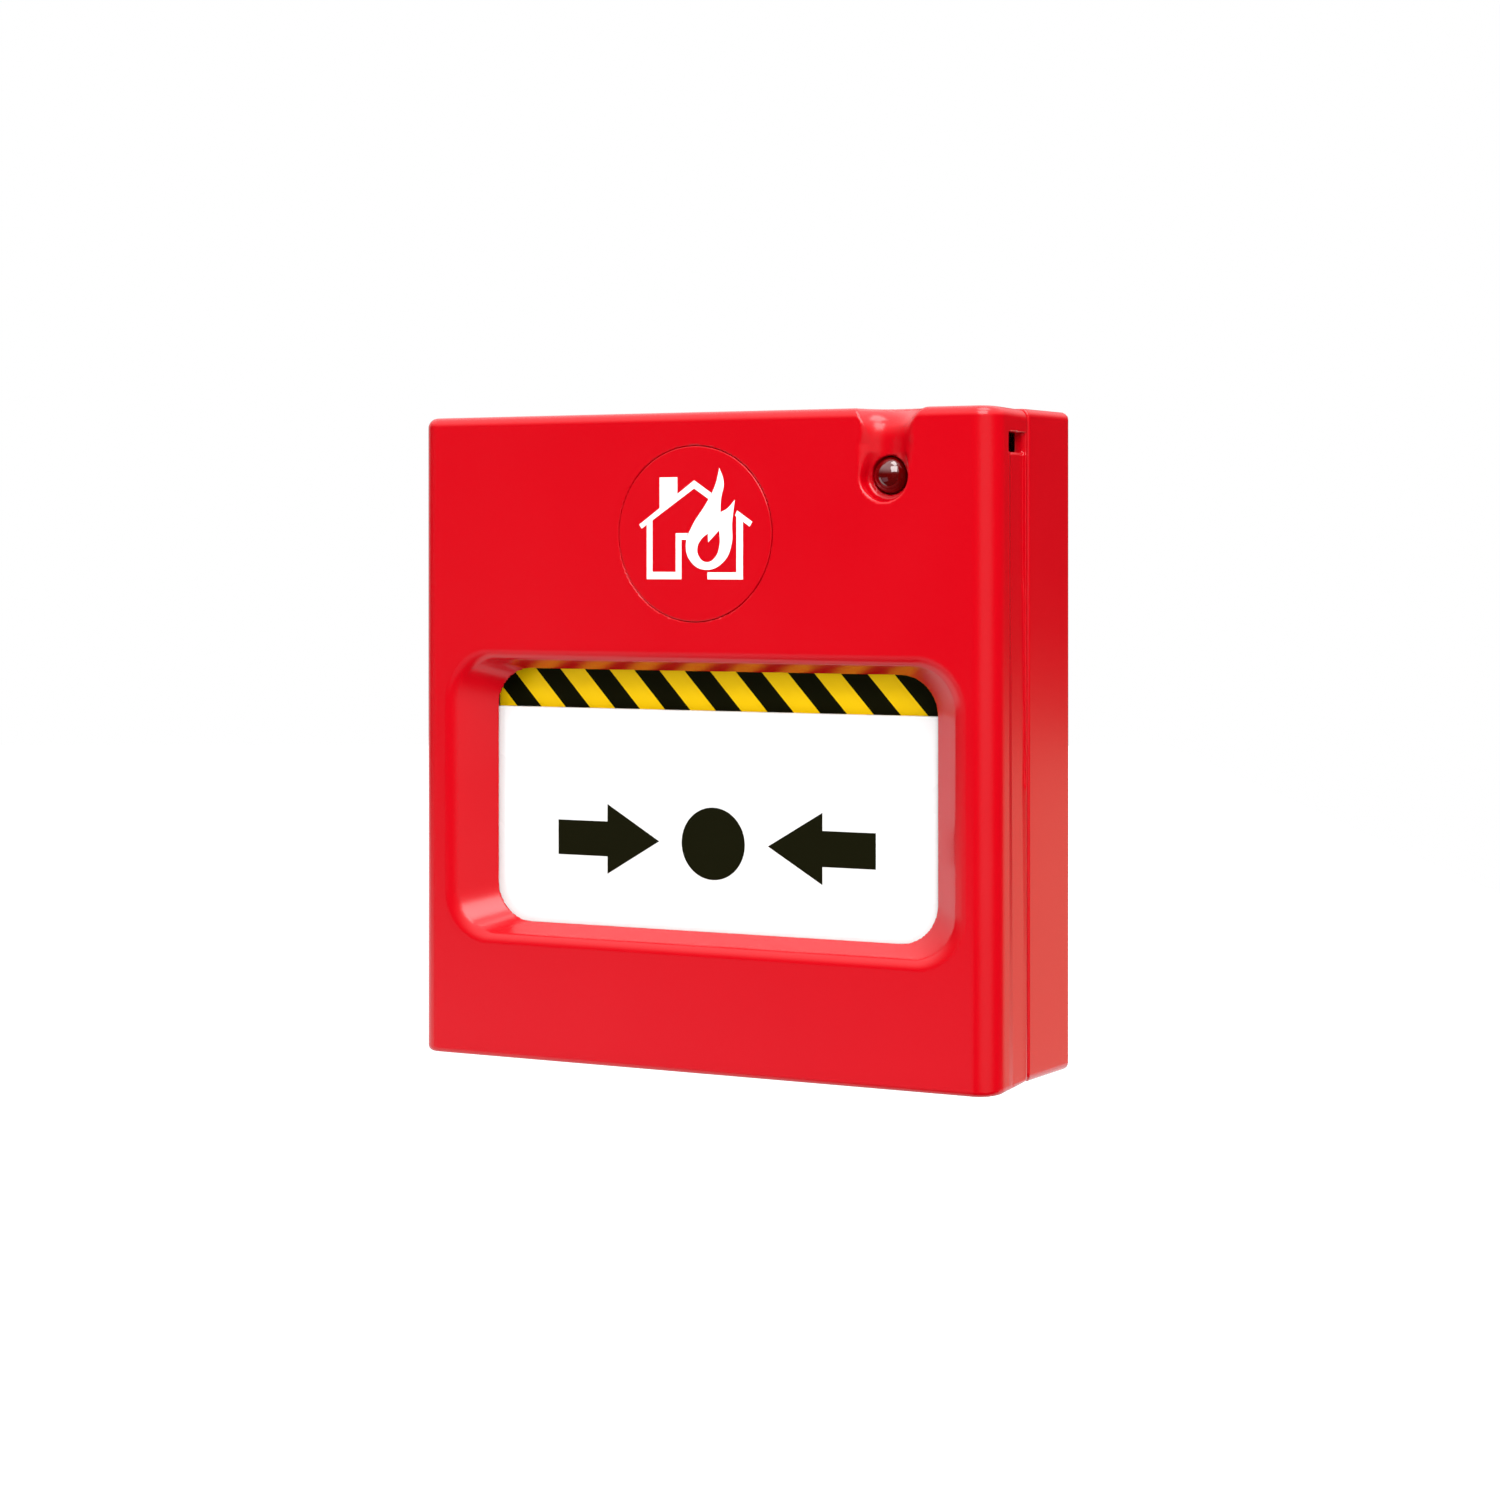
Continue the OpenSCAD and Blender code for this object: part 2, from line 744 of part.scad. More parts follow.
// Leaf whose nose holds the carriage up once it is reset
module detent_spring() {
    foot = chassis_back_y + 0.02;
    front = [[foot, 9.5], [foot, 3.2], [-14.1, -6], [-14.95, -11], [-14.2, -14]];
    back = [for (i = [len(front) - 1:-1:0]) front[i] + [0.3, 0]];
    color("silver")
    difference() {
        plate_yz(-12.5, -7.5) polygon(concat(front, back));
        rod_along_y(detent_at, chassis_y, chassis_back_y + 1, 1.1);
    }
}

module detent_screw() {
    color("silver")
    mirror([0, 1, 0]) slot_screw(detent_at, -chassis_back_y - 0.34, 1.9, 1, 1, 1.8);
}

// Spring-steel clips whose noses face the cover's side slots
module cover_catches() {
    color("silver")
    for (s = [-1, 1]) mirror([s > 0 ? 0 : 1, 0, 0]) {
        block([36.5, chassis_y - 0.42, 37.6], [42.0, chassis_y - 0.02, 41.8]);
        block([41.6, groove_y - 0.5, 38.4], [42.0, chassis_y - 0.02, 41.6]);
        translate([0, 0, 39.5]) linear_extrude(1.9)
            polygon([[41.9, -19.8], [42.7, -18.6], [42.7, -17.4], [41.9, -17.0]]);
    }
}

// ---------- moving parts ----------

module carriage() {
    color("#dcdad4")
    difference() {
        union() {
            block([-30, carriage_y, carriage_bottom], [30, carriage_back_y, carriage_top]);
            for (s = [-1, 1]) {
                x0 = s > 0 ? 28 : -tongue_x;
                block([x0, tongue_y[0], carriage_bottom],
                      [x0 + tongue_x - 28, tongue_y[1], carriage_top]);
                block([s * rod_x - 2.5, carriage_y, carriage_bottom],
                      [s * rod_x + 2.5, rod_y + 1.5, spring_seat_z]);
            }
            for (at = pegs) rod_along_y(at, carriage_back_y - eps, boss_back_y, 3.2);
            // Cam that turns the microswitch lever
            plate_yz(-1.6, 1.6)
                polygon([[cam_root_y, carriage_top], [cam_tip_y, carriage_top],
                         [cam_tip_y + cam_len * cam_slope, carriage_top - cam_len],
                         [cam_tip_y + cam_len * cam_slope, carriage_top - cam_len - 1.2],
                         [cam_root_y, carriage_top - 10]]);
            // Foot that the reset key lifts
            block([-2.6, carriage_y + 0.4, -36.2], [2.6, carriage_back_y, carriage_bottom + eps]);
        }
        for (s = [-1, 1]) {
            translate([s * rod_x, rod_y, -50]) cylinder(h = 60, r = rod_r + 0.06);
            block([s * rod_x - 2, -25, spring_seat_z], [s * rod_x + 2, 0, 0]);
        }
        for (at = pegs) {
            rod_along_y(at, -25, 0, peg_r + 0.06);
            rod_along_y(at, -25, peg_well_y, 2.6);
        }
    }
}

module press_springs() {
    color("#9a9a9e")
    for (at = pegs) {
        translate([at[0], plate_back_y + 0.02, at[1]]) rotate([-90, 0, 0])
            coil(3.5, 2.0, 0.16, peg_well_y - plate_back_y - 0.04);
    }
}

// An arrow whose tip points at the dot: tip, head and tail in the plate's own plane
module arrow_outline() {
    polygon([[8.6, 0], [17, 4.9], [17, 2.45], [25.1, 2.45],
             [25.1, -2.45], [17, -2.45], [17, -4.9]]);
}

module markings_outline() {
    translate([0, dot_z]) {
        circle(dot_d / 2);
        arrow_outline();
        mirror([1, 0]) arrow_outline();
    }
}

module operating_plate() {
    color("#f3f3f3")
    difference() {
        union() {
            plate_xz(plate_y, plate_back_y)
                round_rect([-plate_half_w, plate_bottom], [plate_half_w, plate_top], 2);
            for (at = pegs) rod_along_y(at, plate_back_y - eps, boss_back_y + 0.2, peg_r);
        }
        plate_xz(plate_y - 1, plate_y + 0.3) markings_outline();
    }
}

module plate_markings() {
    color("#18180e")
    plate_xz(plate_y, plate_y + 0.3) markings_outline();
}

back_box();
cable_grommet();
chassis();
chassis_screws();
circuit_board();
pcb_screws();
resistors();
capacitor();
driver_chip();
terminal_block();
terminal_screws();
terminal_clamps();
microswitch_body();
microswitch_dowels();
microswitch_terminals();
microswitch_plunger();
microswitch_lever();
status_led();
led_leads();
led_spacer();
hazard_strip();
hazard_stripes();
guide_rods();
drive_spring_left();
drive_spring_right();
detent_spring();
detent_screw();
cover_catches();
carriage();
press_springs();
operating_plate();
plate_markings();
front_cover();
pictogram_disc();
pictogram();
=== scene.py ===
"""Looks of a resettable manual call point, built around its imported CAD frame. Metres, +Z up."""

import json
import math

import bmesh
import bpy
import numpy as np
from mathutils import Matrix, Vector


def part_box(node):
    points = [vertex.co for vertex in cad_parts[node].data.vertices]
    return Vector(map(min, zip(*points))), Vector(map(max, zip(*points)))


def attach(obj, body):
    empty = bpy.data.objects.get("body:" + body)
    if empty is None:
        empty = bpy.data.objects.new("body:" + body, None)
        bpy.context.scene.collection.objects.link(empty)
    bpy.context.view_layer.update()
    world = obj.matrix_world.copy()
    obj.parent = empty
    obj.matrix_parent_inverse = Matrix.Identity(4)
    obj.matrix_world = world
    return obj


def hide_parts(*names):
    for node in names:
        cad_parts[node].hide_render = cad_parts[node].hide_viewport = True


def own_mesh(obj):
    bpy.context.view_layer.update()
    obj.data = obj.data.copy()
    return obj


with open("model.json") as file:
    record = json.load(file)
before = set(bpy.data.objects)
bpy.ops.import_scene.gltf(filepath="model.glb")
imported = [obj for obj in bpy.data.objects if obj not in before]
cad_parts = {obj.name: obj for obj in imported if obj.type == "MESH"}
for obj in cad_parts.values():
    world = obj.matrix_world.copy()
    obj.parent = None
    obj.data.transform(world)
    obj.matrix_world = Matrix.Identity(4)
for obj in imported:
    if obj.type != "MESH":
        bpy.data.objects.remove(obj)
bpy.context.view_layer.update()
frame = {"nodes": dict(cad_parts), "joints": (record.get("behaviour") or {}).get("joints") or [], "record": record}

MM = 0.001

# ---------------------------------------------------------------- dimensions, in millimetres


def node_box(node):
    """A CAD node's lowest and highest corner at rest, in millimetres."""
    low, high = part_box(node)
    return np.array(low) / MM, np.array(high) / MM


COVER_LOW, COVER_HIGH = node_box("front_cover")
BOX_LOW, BOX_HIGH = node_box("back_box")
PLATE_LOW, PLATE_HIGH = node_box("operating_plate")
STRIP_LOW, STRIP_HIGH = node_box("hazard_strip")
MARKS_LOW, MARKS_HIGH = node_box("plate_markings")
DISC_LOW, DISC_HIGH = node_box("pictogram_disc")
LED_LOW, LED_HIGH = node_box("status_led")
JOINTS = {joint["name"]: joint for joint in frame["joints"]}

# casing: the device hangs on the wall plane y = 0 and faces -Y
FRONT = COVER_LOW[1]
HALF_W = COVER_HIGH[0]
HALF_H = COVER_HIGH[2]
WALL = 2.0
DRAFT = 0.022  # slope of the cover's walls
SEAM = FRONT + 11.2  # where the cover ends
RIM = SEAM + 0.4  # where the box starts
FLOOR = -2.2  # inner face of the box's rear wall
CHASSIS_BACK = PLATE_LOW[1] + 4.75  # where the chassis rests on the box's pillars

# window: half width, top, bottom and corner radius, at the front face and at the ring's back
MOUTH = (39.8, 11.0, -28.25, 6.2)
WINDOW = (34.5, 9.3, -26.35, 5.5)
RING_LOW, RING_HIGH, RING_CORNER = (-41, -30.5), (41, 13), 7.5
RING_BACK = FRONT + 4.6

# pictogram disc and indicator
DISC_Z = (DISC_LOW[2] + DISC_HIGH[2]) / 2
DISC_R = (DISC_HIGH[0] - DISC_LOW[0]) / 2
DISC_BACK = FRONT + 1.15
DISC_BOSS = FRONT + 3.8  # rear face of the thick place behind the disc
STEM_R = 2.0
LED_X = (LED_LOW[0] + LED_HIGH[0]) / 2
LED_Z = (LED_LOW[2] + LED_HIGH[2]) / 2
LED_R = 2.5
LED_HOLE_R = LED_R + 0.1
LED_BOSS = FRONT + 4.1  # rear face of the thick place behind the indicator

# side slots, and the grooves below them
SLOT_Z = (39.0, 41.55)
GROOVE_Y = (FRONT + 4.8, FRONT + 10.35)

# key slot in the bottom wall
KEY_HALF_W = 3.2
KEY_Y = (FRONT + 7.8, FRONT + 10.2)

# hinge along the lower edge
HINGE_Y, HINGE_Z = (JOINTS["cover_hinge"]["pos_m"][i] / MM for i in (1, 2))
HOOK_X = 28
HOOK_HALF_W = 3.5
HOOK_R = 1.35
HOOK_BORE_R = 0.86
PIN_R = 0.8

# back box: screw pillars, wall fixings and cable entry
PILLAR_X, PILLAR_ZS = 38, (22, -38)
FIXING_X = 30
GROMMET_Z = -24
GROMMET_R = 5.4

# press plate's pegs as (x, z), its dot's height, and the carriage's rods
PEGS = [(-17, -10), (17, -10), (-17, -29), (17, -29)]
DOT_Z = (MARKS_LOW[2] + MARKS_HIGH[2]) / 2
ROD_X = 24
ROD_Y = PLATE_LOW[1] + 4.05

# spacing of the grid on which the moulded shells are meshed
CELL = 0.36

# ---------------------------------------------------------------- distance fields
# A field takes three arrays of coordinates in millimetres and returns the signed distance to a
# solid, negative inside. Edges where two fields meet are rounded to a true radius.


def join(a, b, r=0.0):
    """Union of two solids, with a fillet of radius r between them."""
    if r <= 0:
        return np.minimum(a, b)
    return np.maximum(r, np.minimum(a, b)) - np.hypot(np.maximum(r - a, 0), np.maximum(r - b, 0))


def common(a, b, r=0.0):
    """Intersection of two solids, with its edges rounded to radius r."""
    if np.isscalar(r) and r <= 0:
        return np.maximum(a, b)
    return np.minimum(-r, np.maximum(a, b)) + np.hypot(np.maximum(r + a, 0), np.maximum(r + b, 0))


def cut(a, b, r=0.0):
    """Solid a less solid b, with the edges of the cut rounded to radius r."""
    return common(a, -b, r)


def between(u, low, high):
    """The slab between two planes across one axis."""
    return np.maximum(low - u, u - high)


def block(p, low, high, r):
    """A block between two corners with rounded edges."""
    centre = (np.array(low) + high) / 2
    half = (np.array(high) - low) / 2 - r
    qx, qy, qz = (np.abs(p[i] - centre[i]) - half[i] for i in range(3))
    outside = np.sqrt(np.maximum(qx, 0) ** 2 + np.maximum(qy, 0) ** 2 + np.maximum(qz, 0) ** 2)
    return outside + np.minimum(np.maximum(qx, np.maximum(qy, qz)), 0) - r


def rect(u, v, low, high, r):
    """A flat rectangle with round corners, endless across its plane."""
    qu = np.abs(u - (low[0] + high[0]) / 2) - (high[0] - low[0]) / 2 + r
    qv = np.abs(v - (low[1] + high[1]) / 2) - (high[1] - low[1]) / 2 + r
    return np.hypot(np.maximum(qu, 0), np.maximum(qv, 0)) + np.minimum(np.maximum(qu, qv), 0) - r


def drum_y(p, at, y0, y1, radius, r=0.0):
    """A cylinder along Y, centred on [x, z]."""
    side = np.hypot(p[0] - at[0], p[2] - at[1]) - radius
    return common(side, between(p[1], y0, y1), r)


def drum_x(p, at, x0, x1, radius):
    """A cylinder along X, centred on [y, z]."""
    side = np.hypot(p[1] - at[0], p[2] - at[1]) - radius
    return common(side, between(p[0], x0, x1))


# ---------------------------------------------------------------- pieces


def new_piece(name, data):
    """A piece in the scene that shows a mesh or a curve."""
    piece = bpy.data.objects.new(name, data)
    bpy.context.collection.objects.link(piece)
    return piece


def evaluated(piece):
    """The mesh that a piece's modifiers make."""
    graph = bpy.context.evaluated_depsgraph_get()
    return bpy.data.meshes.new_from_object(piece.evaluated_get(graph))


def clean(mesh, merge=False, flatten=False):
    """Turns a mesh's faces outwards. Doubled points and level faces can be joined first."""
    work = bmesh.new()
    work.from_mesh(mesh)
    if merge:
        bmesh.ops.remove_doubles(work, verts=work.verts, dist=1e-3 * MM)
    if flatten:
        level = math.radians(0.4)
        bmesh.ops.dissolve_limit(work, angle_limit=level, verts=work.verts, edges=work.edges)
    bmesh.ops.recalc_face_normals(work, faces=work.faces)
    work.to_mesh(mesh)
    work.free()


# ---------------------------------------------------------------- meshes from fields


def gradient(field, points, step=0.02):
    """The field's unit gradient at each point, which is the surface's normal there."""
    slopes = []
    for axis in range(3):
        shift = np.zeros(3)
        shift[axis] = step
        slopes.append(field((points + shift).T) - field((points - shift).T))
    slopes = np.array(slopes).T
    return slopes / np.maximum(np.linalg.norm(slopes, axis=1, keepdims=True), 1e-9)


def net(field, low, high, cell):
    """Corner points and quads of the field's zero surface, as a surface net on a regular grid."""
    axes = [np.arange(low[i] - 1.5 * cell, high[i] + 2.5 * cell, cell) for i in range(3)]
    shape = [len(a) for a in axes]
    grid = np.meshgrid(*axes, indexing="ij")
    values = field(grid).astype(np.float32)
    cells = [n - 1 for n in shape]
    total = np.zeros((cells[0] * cells[1] * cells[2], 3))
    count = np.zeros(len(total))
    quads = []
    for axis in range(3):
        near = np.moveaxis(values, axis, 0)[:-1]
        far = np.moveaxis(values, axis, 0)[1:]
        found = np.argwhere((near < 0) != (far < 0))  # grid edges that cross the surface
        a = near[tuple(found.T)]
        b = far[tuple(found.T)]
        rising = a < 0
        at = np.insert(found[:, 1:], axis, found[:, 0], axis=1)
        place = np.stack([axes[i][at[:, i]] for i in range(3)], axis=1)
        place[:, axis] += cell * a / (a - b)
        # the four cells round each crossed edge become the corners of one quad
        others = [i for i in range(3) if i != axis]
        if axis == 1:
            others.reverse()
        corners = []
        for du, dv in ((1, 1), (0, 1), (0, 0), (1, 0)):
            c = at.copy()
            c[:, others[0]] -= du
            c[:, others[1]] -= dv
            flat = np.ravel_multi_index(c.T, cells, mode="clip")
            corners.append(flat)
            for i in range(3):
                total[:, i] += np.bincount(flat, place[:, i], len(total))
            count += np.bincount(flat, minlength=len(total))
        loop = np.stack(corners, axis=1)
        loop[~rising] = loop[~rising][:, ::-1]
        quads.append(loop)
    quads = np.concatenate(quads)
    # a cell's point is the mean of its edges' crossings, and cells without one are left out
    used = np.unique(quads)
    number = np.zeros(len(total), dtype=int)
    number[used] = np.arange(len(used))
    return total[used] / count[used, None], number[quads]


def solid(name, field, low, high, keep):
    """A mesh piece from a field: netted, drawn onto the true surface and thinned where it is flat."""
    cell = CELL
    points, quads = net(field, low, high, cell)
    for _ in range(3):
        normal = gradient(field, points)
        points -= np.clip(field(points.T), -cell / 2, cell / 2)[:, None] * normal
    full = bpy.data.meshes.new(name)
    full.from_pydata((points * MM).tolist(), [], quads.tolist())
    piece = new_piece(name, full)
    thin = piece.modifiers.new("thin", "DECIMATE")
    thin.ratio = keep
    mesh = piece.data = evaluated(piece)
    piece.modifiers.clear()
    bpy.data.meshes.remove(full)
    mesh.name = name
    mesh.polygons.foreach_set("use_smooth", [True] * len(mesh.polygons))
    spots = np.empty(len(mesh.vertices) * 3)
    mesh.vertices.foreach_get("co", spots)
    mesh.normals_split_custom_set_from_vertices(gradient(field, spots.reshape(-1, 3) / MM, 0.06))
    return piece


# ---------------------------------------------------------------- meshes from profiles and outlines


def smooth(piece, angle=32):
    """Smooth shading that keeps edges sharper than the angle, and keeps flat faces flat."""
    mesh = piece.data
    mesh.polygons.foreach_set("use_smooth", [True] * len(mesh.polygons))
    mesh.set_sharp_from_angle(angle=math.radians(angle))
    level = piece.modifiers.new("flat_faces", "WEIGHTED_NORMAL")
    level.keep_sharp = True


def bevelled(name, mesh, width, segments=2):
    """A piece from a mesh in metres, with its sharp edges rounded to a width in millimetres."""
    clean(mesh, merge=True, flatten=True)
    piece = new_piece(name, mesh)
    edge = piece.modifiers.new("edges", "BEVEL")
    edge.width = width * MM
    edge.segments = segments
    edge.limit_method = "ANGLE"
    edge.angle_limit = math.radians(34)
    piece.data = evaluated(piece)
    piece.data.name = name
    piece.modifiers.clear()
    smooth(piece)
    return piece


def lathe(name, profile, at, steps=96):
    """A turned piece about the Y axis through [x, z]; the profile runs through (radius, y)."""
    verts, rows, faces = [], [], []
    for r, y in profile:
        if r <= 0:
            rows.append([len(verts)] * steps)
            verts.append((at[0] * MM, y * MM, at[1] * MM))
            continue
        rows.append(list(range(len(verts), len(verts) + steps)))
        for i in range(steps):
            a = 2 * math.pi * i / steps
            verts.append(((at[0] + r * math.cos(a)) * MM, y * MM, (at[1] + r * math.sin(a)) * MM))
    for near, far in zip(rows, rows[1:]):
        for i in range(steps):
            k = (i + 1) % steps
            corners = (near[i], near[k], far[k], far[i])
            faces.append(list(dict.fromkeys(corners)))  # a triangle where a row is one point
    mesh = bpy.data.meshes.new(name)
    mesh.from_pydata(verts, [], faces)
    clean(mesh)
    piece = new_piece(name, mesh)
    smooth(piece)
    return piece


def arc(u, v, radius, start, end, steps=8):
    """Points round the centre (u, v), from one angle to another, in degrees."""
    angles = (math.radians(start + (end - start) * i / steps) for i in range(steps + 1))
    return [(u + radius * math.cos(a), v + radius * math.sin(a)) for a in angles]


def helix(name, centre, axis, radius, wire, turns, length):
    """A coil spring as one closed tube, starting at its centre point and rising along an axis."""
    rings, sides = 28, 12
    axis = np.array(axis, float)
    side = np.array((1.0, 0, 0))
    up = np.cross(axis, side)
    steps = round(turns * rings)
    turn = np.linspace(0, 2 * np.pi * turns, steps + 1)
    around = np.linspace(0, 2 * np.pi, sides, endpoint=False)
    out = np.cos(turn)[:, None] * side + np.sin(turn)[:, None] * up
    rise = wire + (length - 2 * wire) * np.linspace(0, 1, steps + 1)
    verts = (np.array(centre) + (radius + wire * np.cos(around))[None, :, None] * out[:, None]
             + (rise[:, None] + wire * np.sin(around)[None, :])[..., None] * axis)
    faces = []
    for near in range(0, steps * sides, sides):
        far = near + sides
        for j in range(sides):
            k = (j + 1) % sides
            faces.append((near + j, near + k, far + k, far + j))
    faces += [list(range(sides))[::-1], list(range(steps * sides, (steps + 1) * sides))]
    mesh = bpy.data.meshes.new(name)
    mesh.from_pydata((verts.reshape(-1, 3) * MM).tolist(), [], faces)
    clean(mesh)
    piece = new_piece(name, mesh)
    smooth(piece, 50)
    return piece


def ink(name, outlines, y):
    """Print lying on a face at depth y. An outline holds (x, z) corners and (x, z, "AUTO") bends."""
    thickness = 0.02
    curve = bpy.data.curves.new(name, "CURVE")
    curve.dimensions = "2D"
    curve.fill_mode = "BOTH"
    curve.resolution_u = 16
    curve.extrude = thickness / 2 * MM
    for outline in outlines:
        line = curve.splines.new("BEZIER")
        line.bezier_points.add(len(outline) - 1)
        line.use_cyclic_u = True
        for knot, (x, z, *bend) in zip(line.bezier_points, outline):
            knot.co = (x * MM, z * MM, 0)
            knot.handle_left_type = knot.handle_right_type = bend[0] if bend else "VECTOR"
    shape = new_piece(name, curve)
    mesh = evaluated(shape)
    bpy.data.objects.remove(shape)
    mesh.transform(Matrix.Translation((0, (y - thickness / 2) * MM, 0))
                   @ Matrix.Rotation(math.pi / 2, 4, "X"))
    clean(mesh, merge=True)
    mesh.name = name
    return new_piece(name, mesh)


def circle(x, z, r):
    """A round outline for ink, as four bends."""
    return [(x + r, z, "AUTO"), (x, z + r, "AUTO"), (x - r, z, "AUTO"), (x, z - r, "AUTO")]


# ---------------------------------------------------------------- materials


DRIFT_SCALE = 55  # patches per metre over which a finish drifts


def add_noise(tree, scale, detail):
    """The factor of a noise in the piece's own coordinates."""
    place = tree.nodes.new("ShaderNodeTexCoord")
    noise = tree.nodes.new("ShaderNodeTexNoise")
    noise.inputs["Scale"].default_value = scale
    noise.inputs["Detail"].default_value = detail
    tree.links.new(place.outputs["Object"], noise.inputs["Vector"])
    return noise.outputs["Fac"]


def paint(name, colour, rough, spread=0.04, tone=0.04, grain=0.05, grain_mm=0.4, ior=1.5, **more):
    """A procedural finish: colour and roughness drift over the surface, and a fine grain bumps it."""
    material = bpy.data.materials.new(name)
    material.use_nodes = True
    nodes = material.node_tree.nodes
    links = material.node_tree.links
    shader = nodes["Principled BSDF"]
    shader.inputs["IOR"].default_value = ior
    for socket, value in more.items():
        shader.inputs[socket.replace("_", " ")].default_value = value
    drift = add_noise(material.node_tree, DRIFT_SCALE, 4)
    ramp = nodes.new("ShaderNodeMix")
    ramp.data_type = "RGBA"
    ramp.inputs["A"].default_value = [max(c * (1 - tone), 0) for c in colour] + [1]
    ramp.inputs["B"].default_value = [min(c * (1 + tone), 1) for c in colour] + [1]
    links.new(drift, ramp.inputs["Factor"])
    links.new(ramp.outputs["Result"], shader.inputs["Base Color"])
    sheen = nodes.new("ShaderNodeMapRange")
    sheen.inputs["To Min"].default_value = max(rough - spread, 0.02)
    sheen.inputs["To Max"].default_value = rough + spread
    links.new(drift, sheen.inputs["Value"])
    links.new(sheen.outputs["Result"], shader.inputs["Roughness"])
    bump = nodes.new("ShaderNodeBump")
    bump.inputs["Strength"].default_value = grain
    bump.inputs["Distance"].default_value = 0.05 * MM
    links.new(add_noise(material.node_tree, 1 / (grain_mm * MM), 3), bump.inputs["Height"])
    links.new(bump.outputs["Normal"], shader.inputs["Normal"])
    return material


# a finish for each material slot: name, base colour, roughness and what differs from paint's own
METAL = {"tone": 0.1, "grain": 0.1, "Metallic": 1.0}
FINISHES = {
    "red_gloss": paint("red_abs", (0.46, 0.0, 0.0045), 0.22, grain=0.06, grain_mm=0.9, tone=0.02,
                       ior=1.43),
    "plate_white": paint("plate_white", (0.72, 0.72, 0.716), 0.28, tone=0.01, grain=0.04),
    "mark_black": paint("mark_black", (0.005, 0.005, 0.0006), 0.6, tone=0.15, grain_mm=0.2,
                        Specular_IOR_Level=0.05),
    "hazard_yellow": paint("hazard_yellow", (1.0, 0.64, 0.0), 0.5, tone=0.02, grain_mm=0.2,
                           Specular_IOR_Level=0.15),
    "print_white": paint("print_white", (0.9, 0.88, 0.88), 0.4, tone=0.01, grain_mm=0.2),
    "chassis_plastic": paint("chassis_cream", (0.4, 0.385, 0.34), 0.5, grain=0.3, grain_mm=0.25),
    "slider_plastic": paint("slider_acetal", (0.38, 0.37, 0.33), 0.35, grain=0.08),
    "black_plastic": paint("black_plastic", (0.018, 0.018, 0.02), 0.4, tone=0.15, grain=0.15),
    "grommet_rubber": paint("grommet_rubber", (0.014, 0.014, 0.015), 0.75, tone=0.2, grain=0.3),
    "board_green": paint("solder_resist", (0.01, 0.1, 0.035), 0.25, tone=0.25, grain=0.15),
    "terminal_green": paint("terminal_green", (0.03, 0.22, 0.07), 0.42, tone=0.06, grain=0.1),
    "zinc_steel": paint("zinc_steel", (0.62, 0.62, 0.58), 0.3, **METAL),
    "spring_steel": paint("spring_steel", (0.5, 0.5, 0.5), 0.25, **METAL),
    "tinned_metal": paint("tinned_metal", (0.72, 0.71, 0.68), 0.28, **METAL),
    "contact_brass": paint("contact_brass", (0.74, 0.54, 0.22), 0.25, **METAL),
    "resistor_body": paint("resistor_body", (0.55, 0.4, 0.22), 0.35, tone=0.1, grain=0.1),
    "plunger_red": paint("plunger_red", (0.45, 0.02, 0.015), 0.35, tone=0.08),
    "led_red": paint("led_epoxy", (0.1, 0.0, 0.0), 0.05, spread=0.01, tone=0.15, grain=0.0,
                     Transmission_Weight=0.3, Coat_Weight=1.0),
}
SLOTS = {part["node"]: part["material_slot"] for part in frame["record"]["subparts"]}
BODY_OF = {node: body for body, members in frame["record"]["behaviour"]["bodies"].items()
           for node in members}


def finish(piece, *nodes):
    """Gives a new piece the finish, body and slot of the first CAD node that it stands for."""
    slot = SLOTS[nodes[0]]
    piece.data.materials.clear()
    piece.data.materials.append(FINISHES[slot])
    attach(piece, BODY_OF[nodes[0]])
    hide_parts(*nodes)
    return piece


# ---------------------------------------------------------------- front cover


def funnel(p):
    """The recess in front of the press plate: wide at the front face, narrow at the ring's back."""
    t = np.clip((p[1] - FRONT) / (RING_BACK - FRONT), -0.2, 1.2)
    half, top, bottom, corner = (wide + (narrow - wide) * t for wide, narrow in zip(MOUTH, WINDOW))
    across = rect(p[0], p[2], (-half, bottom), (half, top), corner)
    return across * 0.8  # the walls slope, so they are nearer than straight across


def led_channel(p):
    """The indicator's channel: a trough that runs up and rolls back over the top edge, and a
    steeper wall round its lower end."""
    radius, axis_height, roll = 3.8, 1.6, 2.6
    end_radius, end_depth = 3.5, 2.2
    # it leans right as it rises, spreads near the top edge and narrows just above the indicator
    lean, spread, spread_height, waist, waist_height = 0.07, 0.09, 4, 0.05, 5
    rise = np.maximum(p[2] - LED_Z, 0)
    top = np.clip(p[2] - (HALF_H - roll), 0, roll - 0.01)
    back = roll - np.sqrt(roll ** 2 - top ** 2)
    across = p[0] - (LED_X + lean * rise)
    flare = spread * np.maximum(p[2] - (HALF_H - spread_height), 0) ** 2
    flare = flare - waist * np.minimum(rise, waist_height)
    under = np.maximum(p[1] - FRONT + axis_height - back, 0)
    side = np.hypot(across, np.minimum(p[2] - LED_Z, 0))
    trough = np.hypot(side, under) - (radius + flare)
    end = common(side - end_radius, p[1] - FRONT - end_depth, 0.7)
    share = np.clip((p[2] - LED_Z + 1) / 4, 0, 1)
    return share * trough + (1 - share) * end


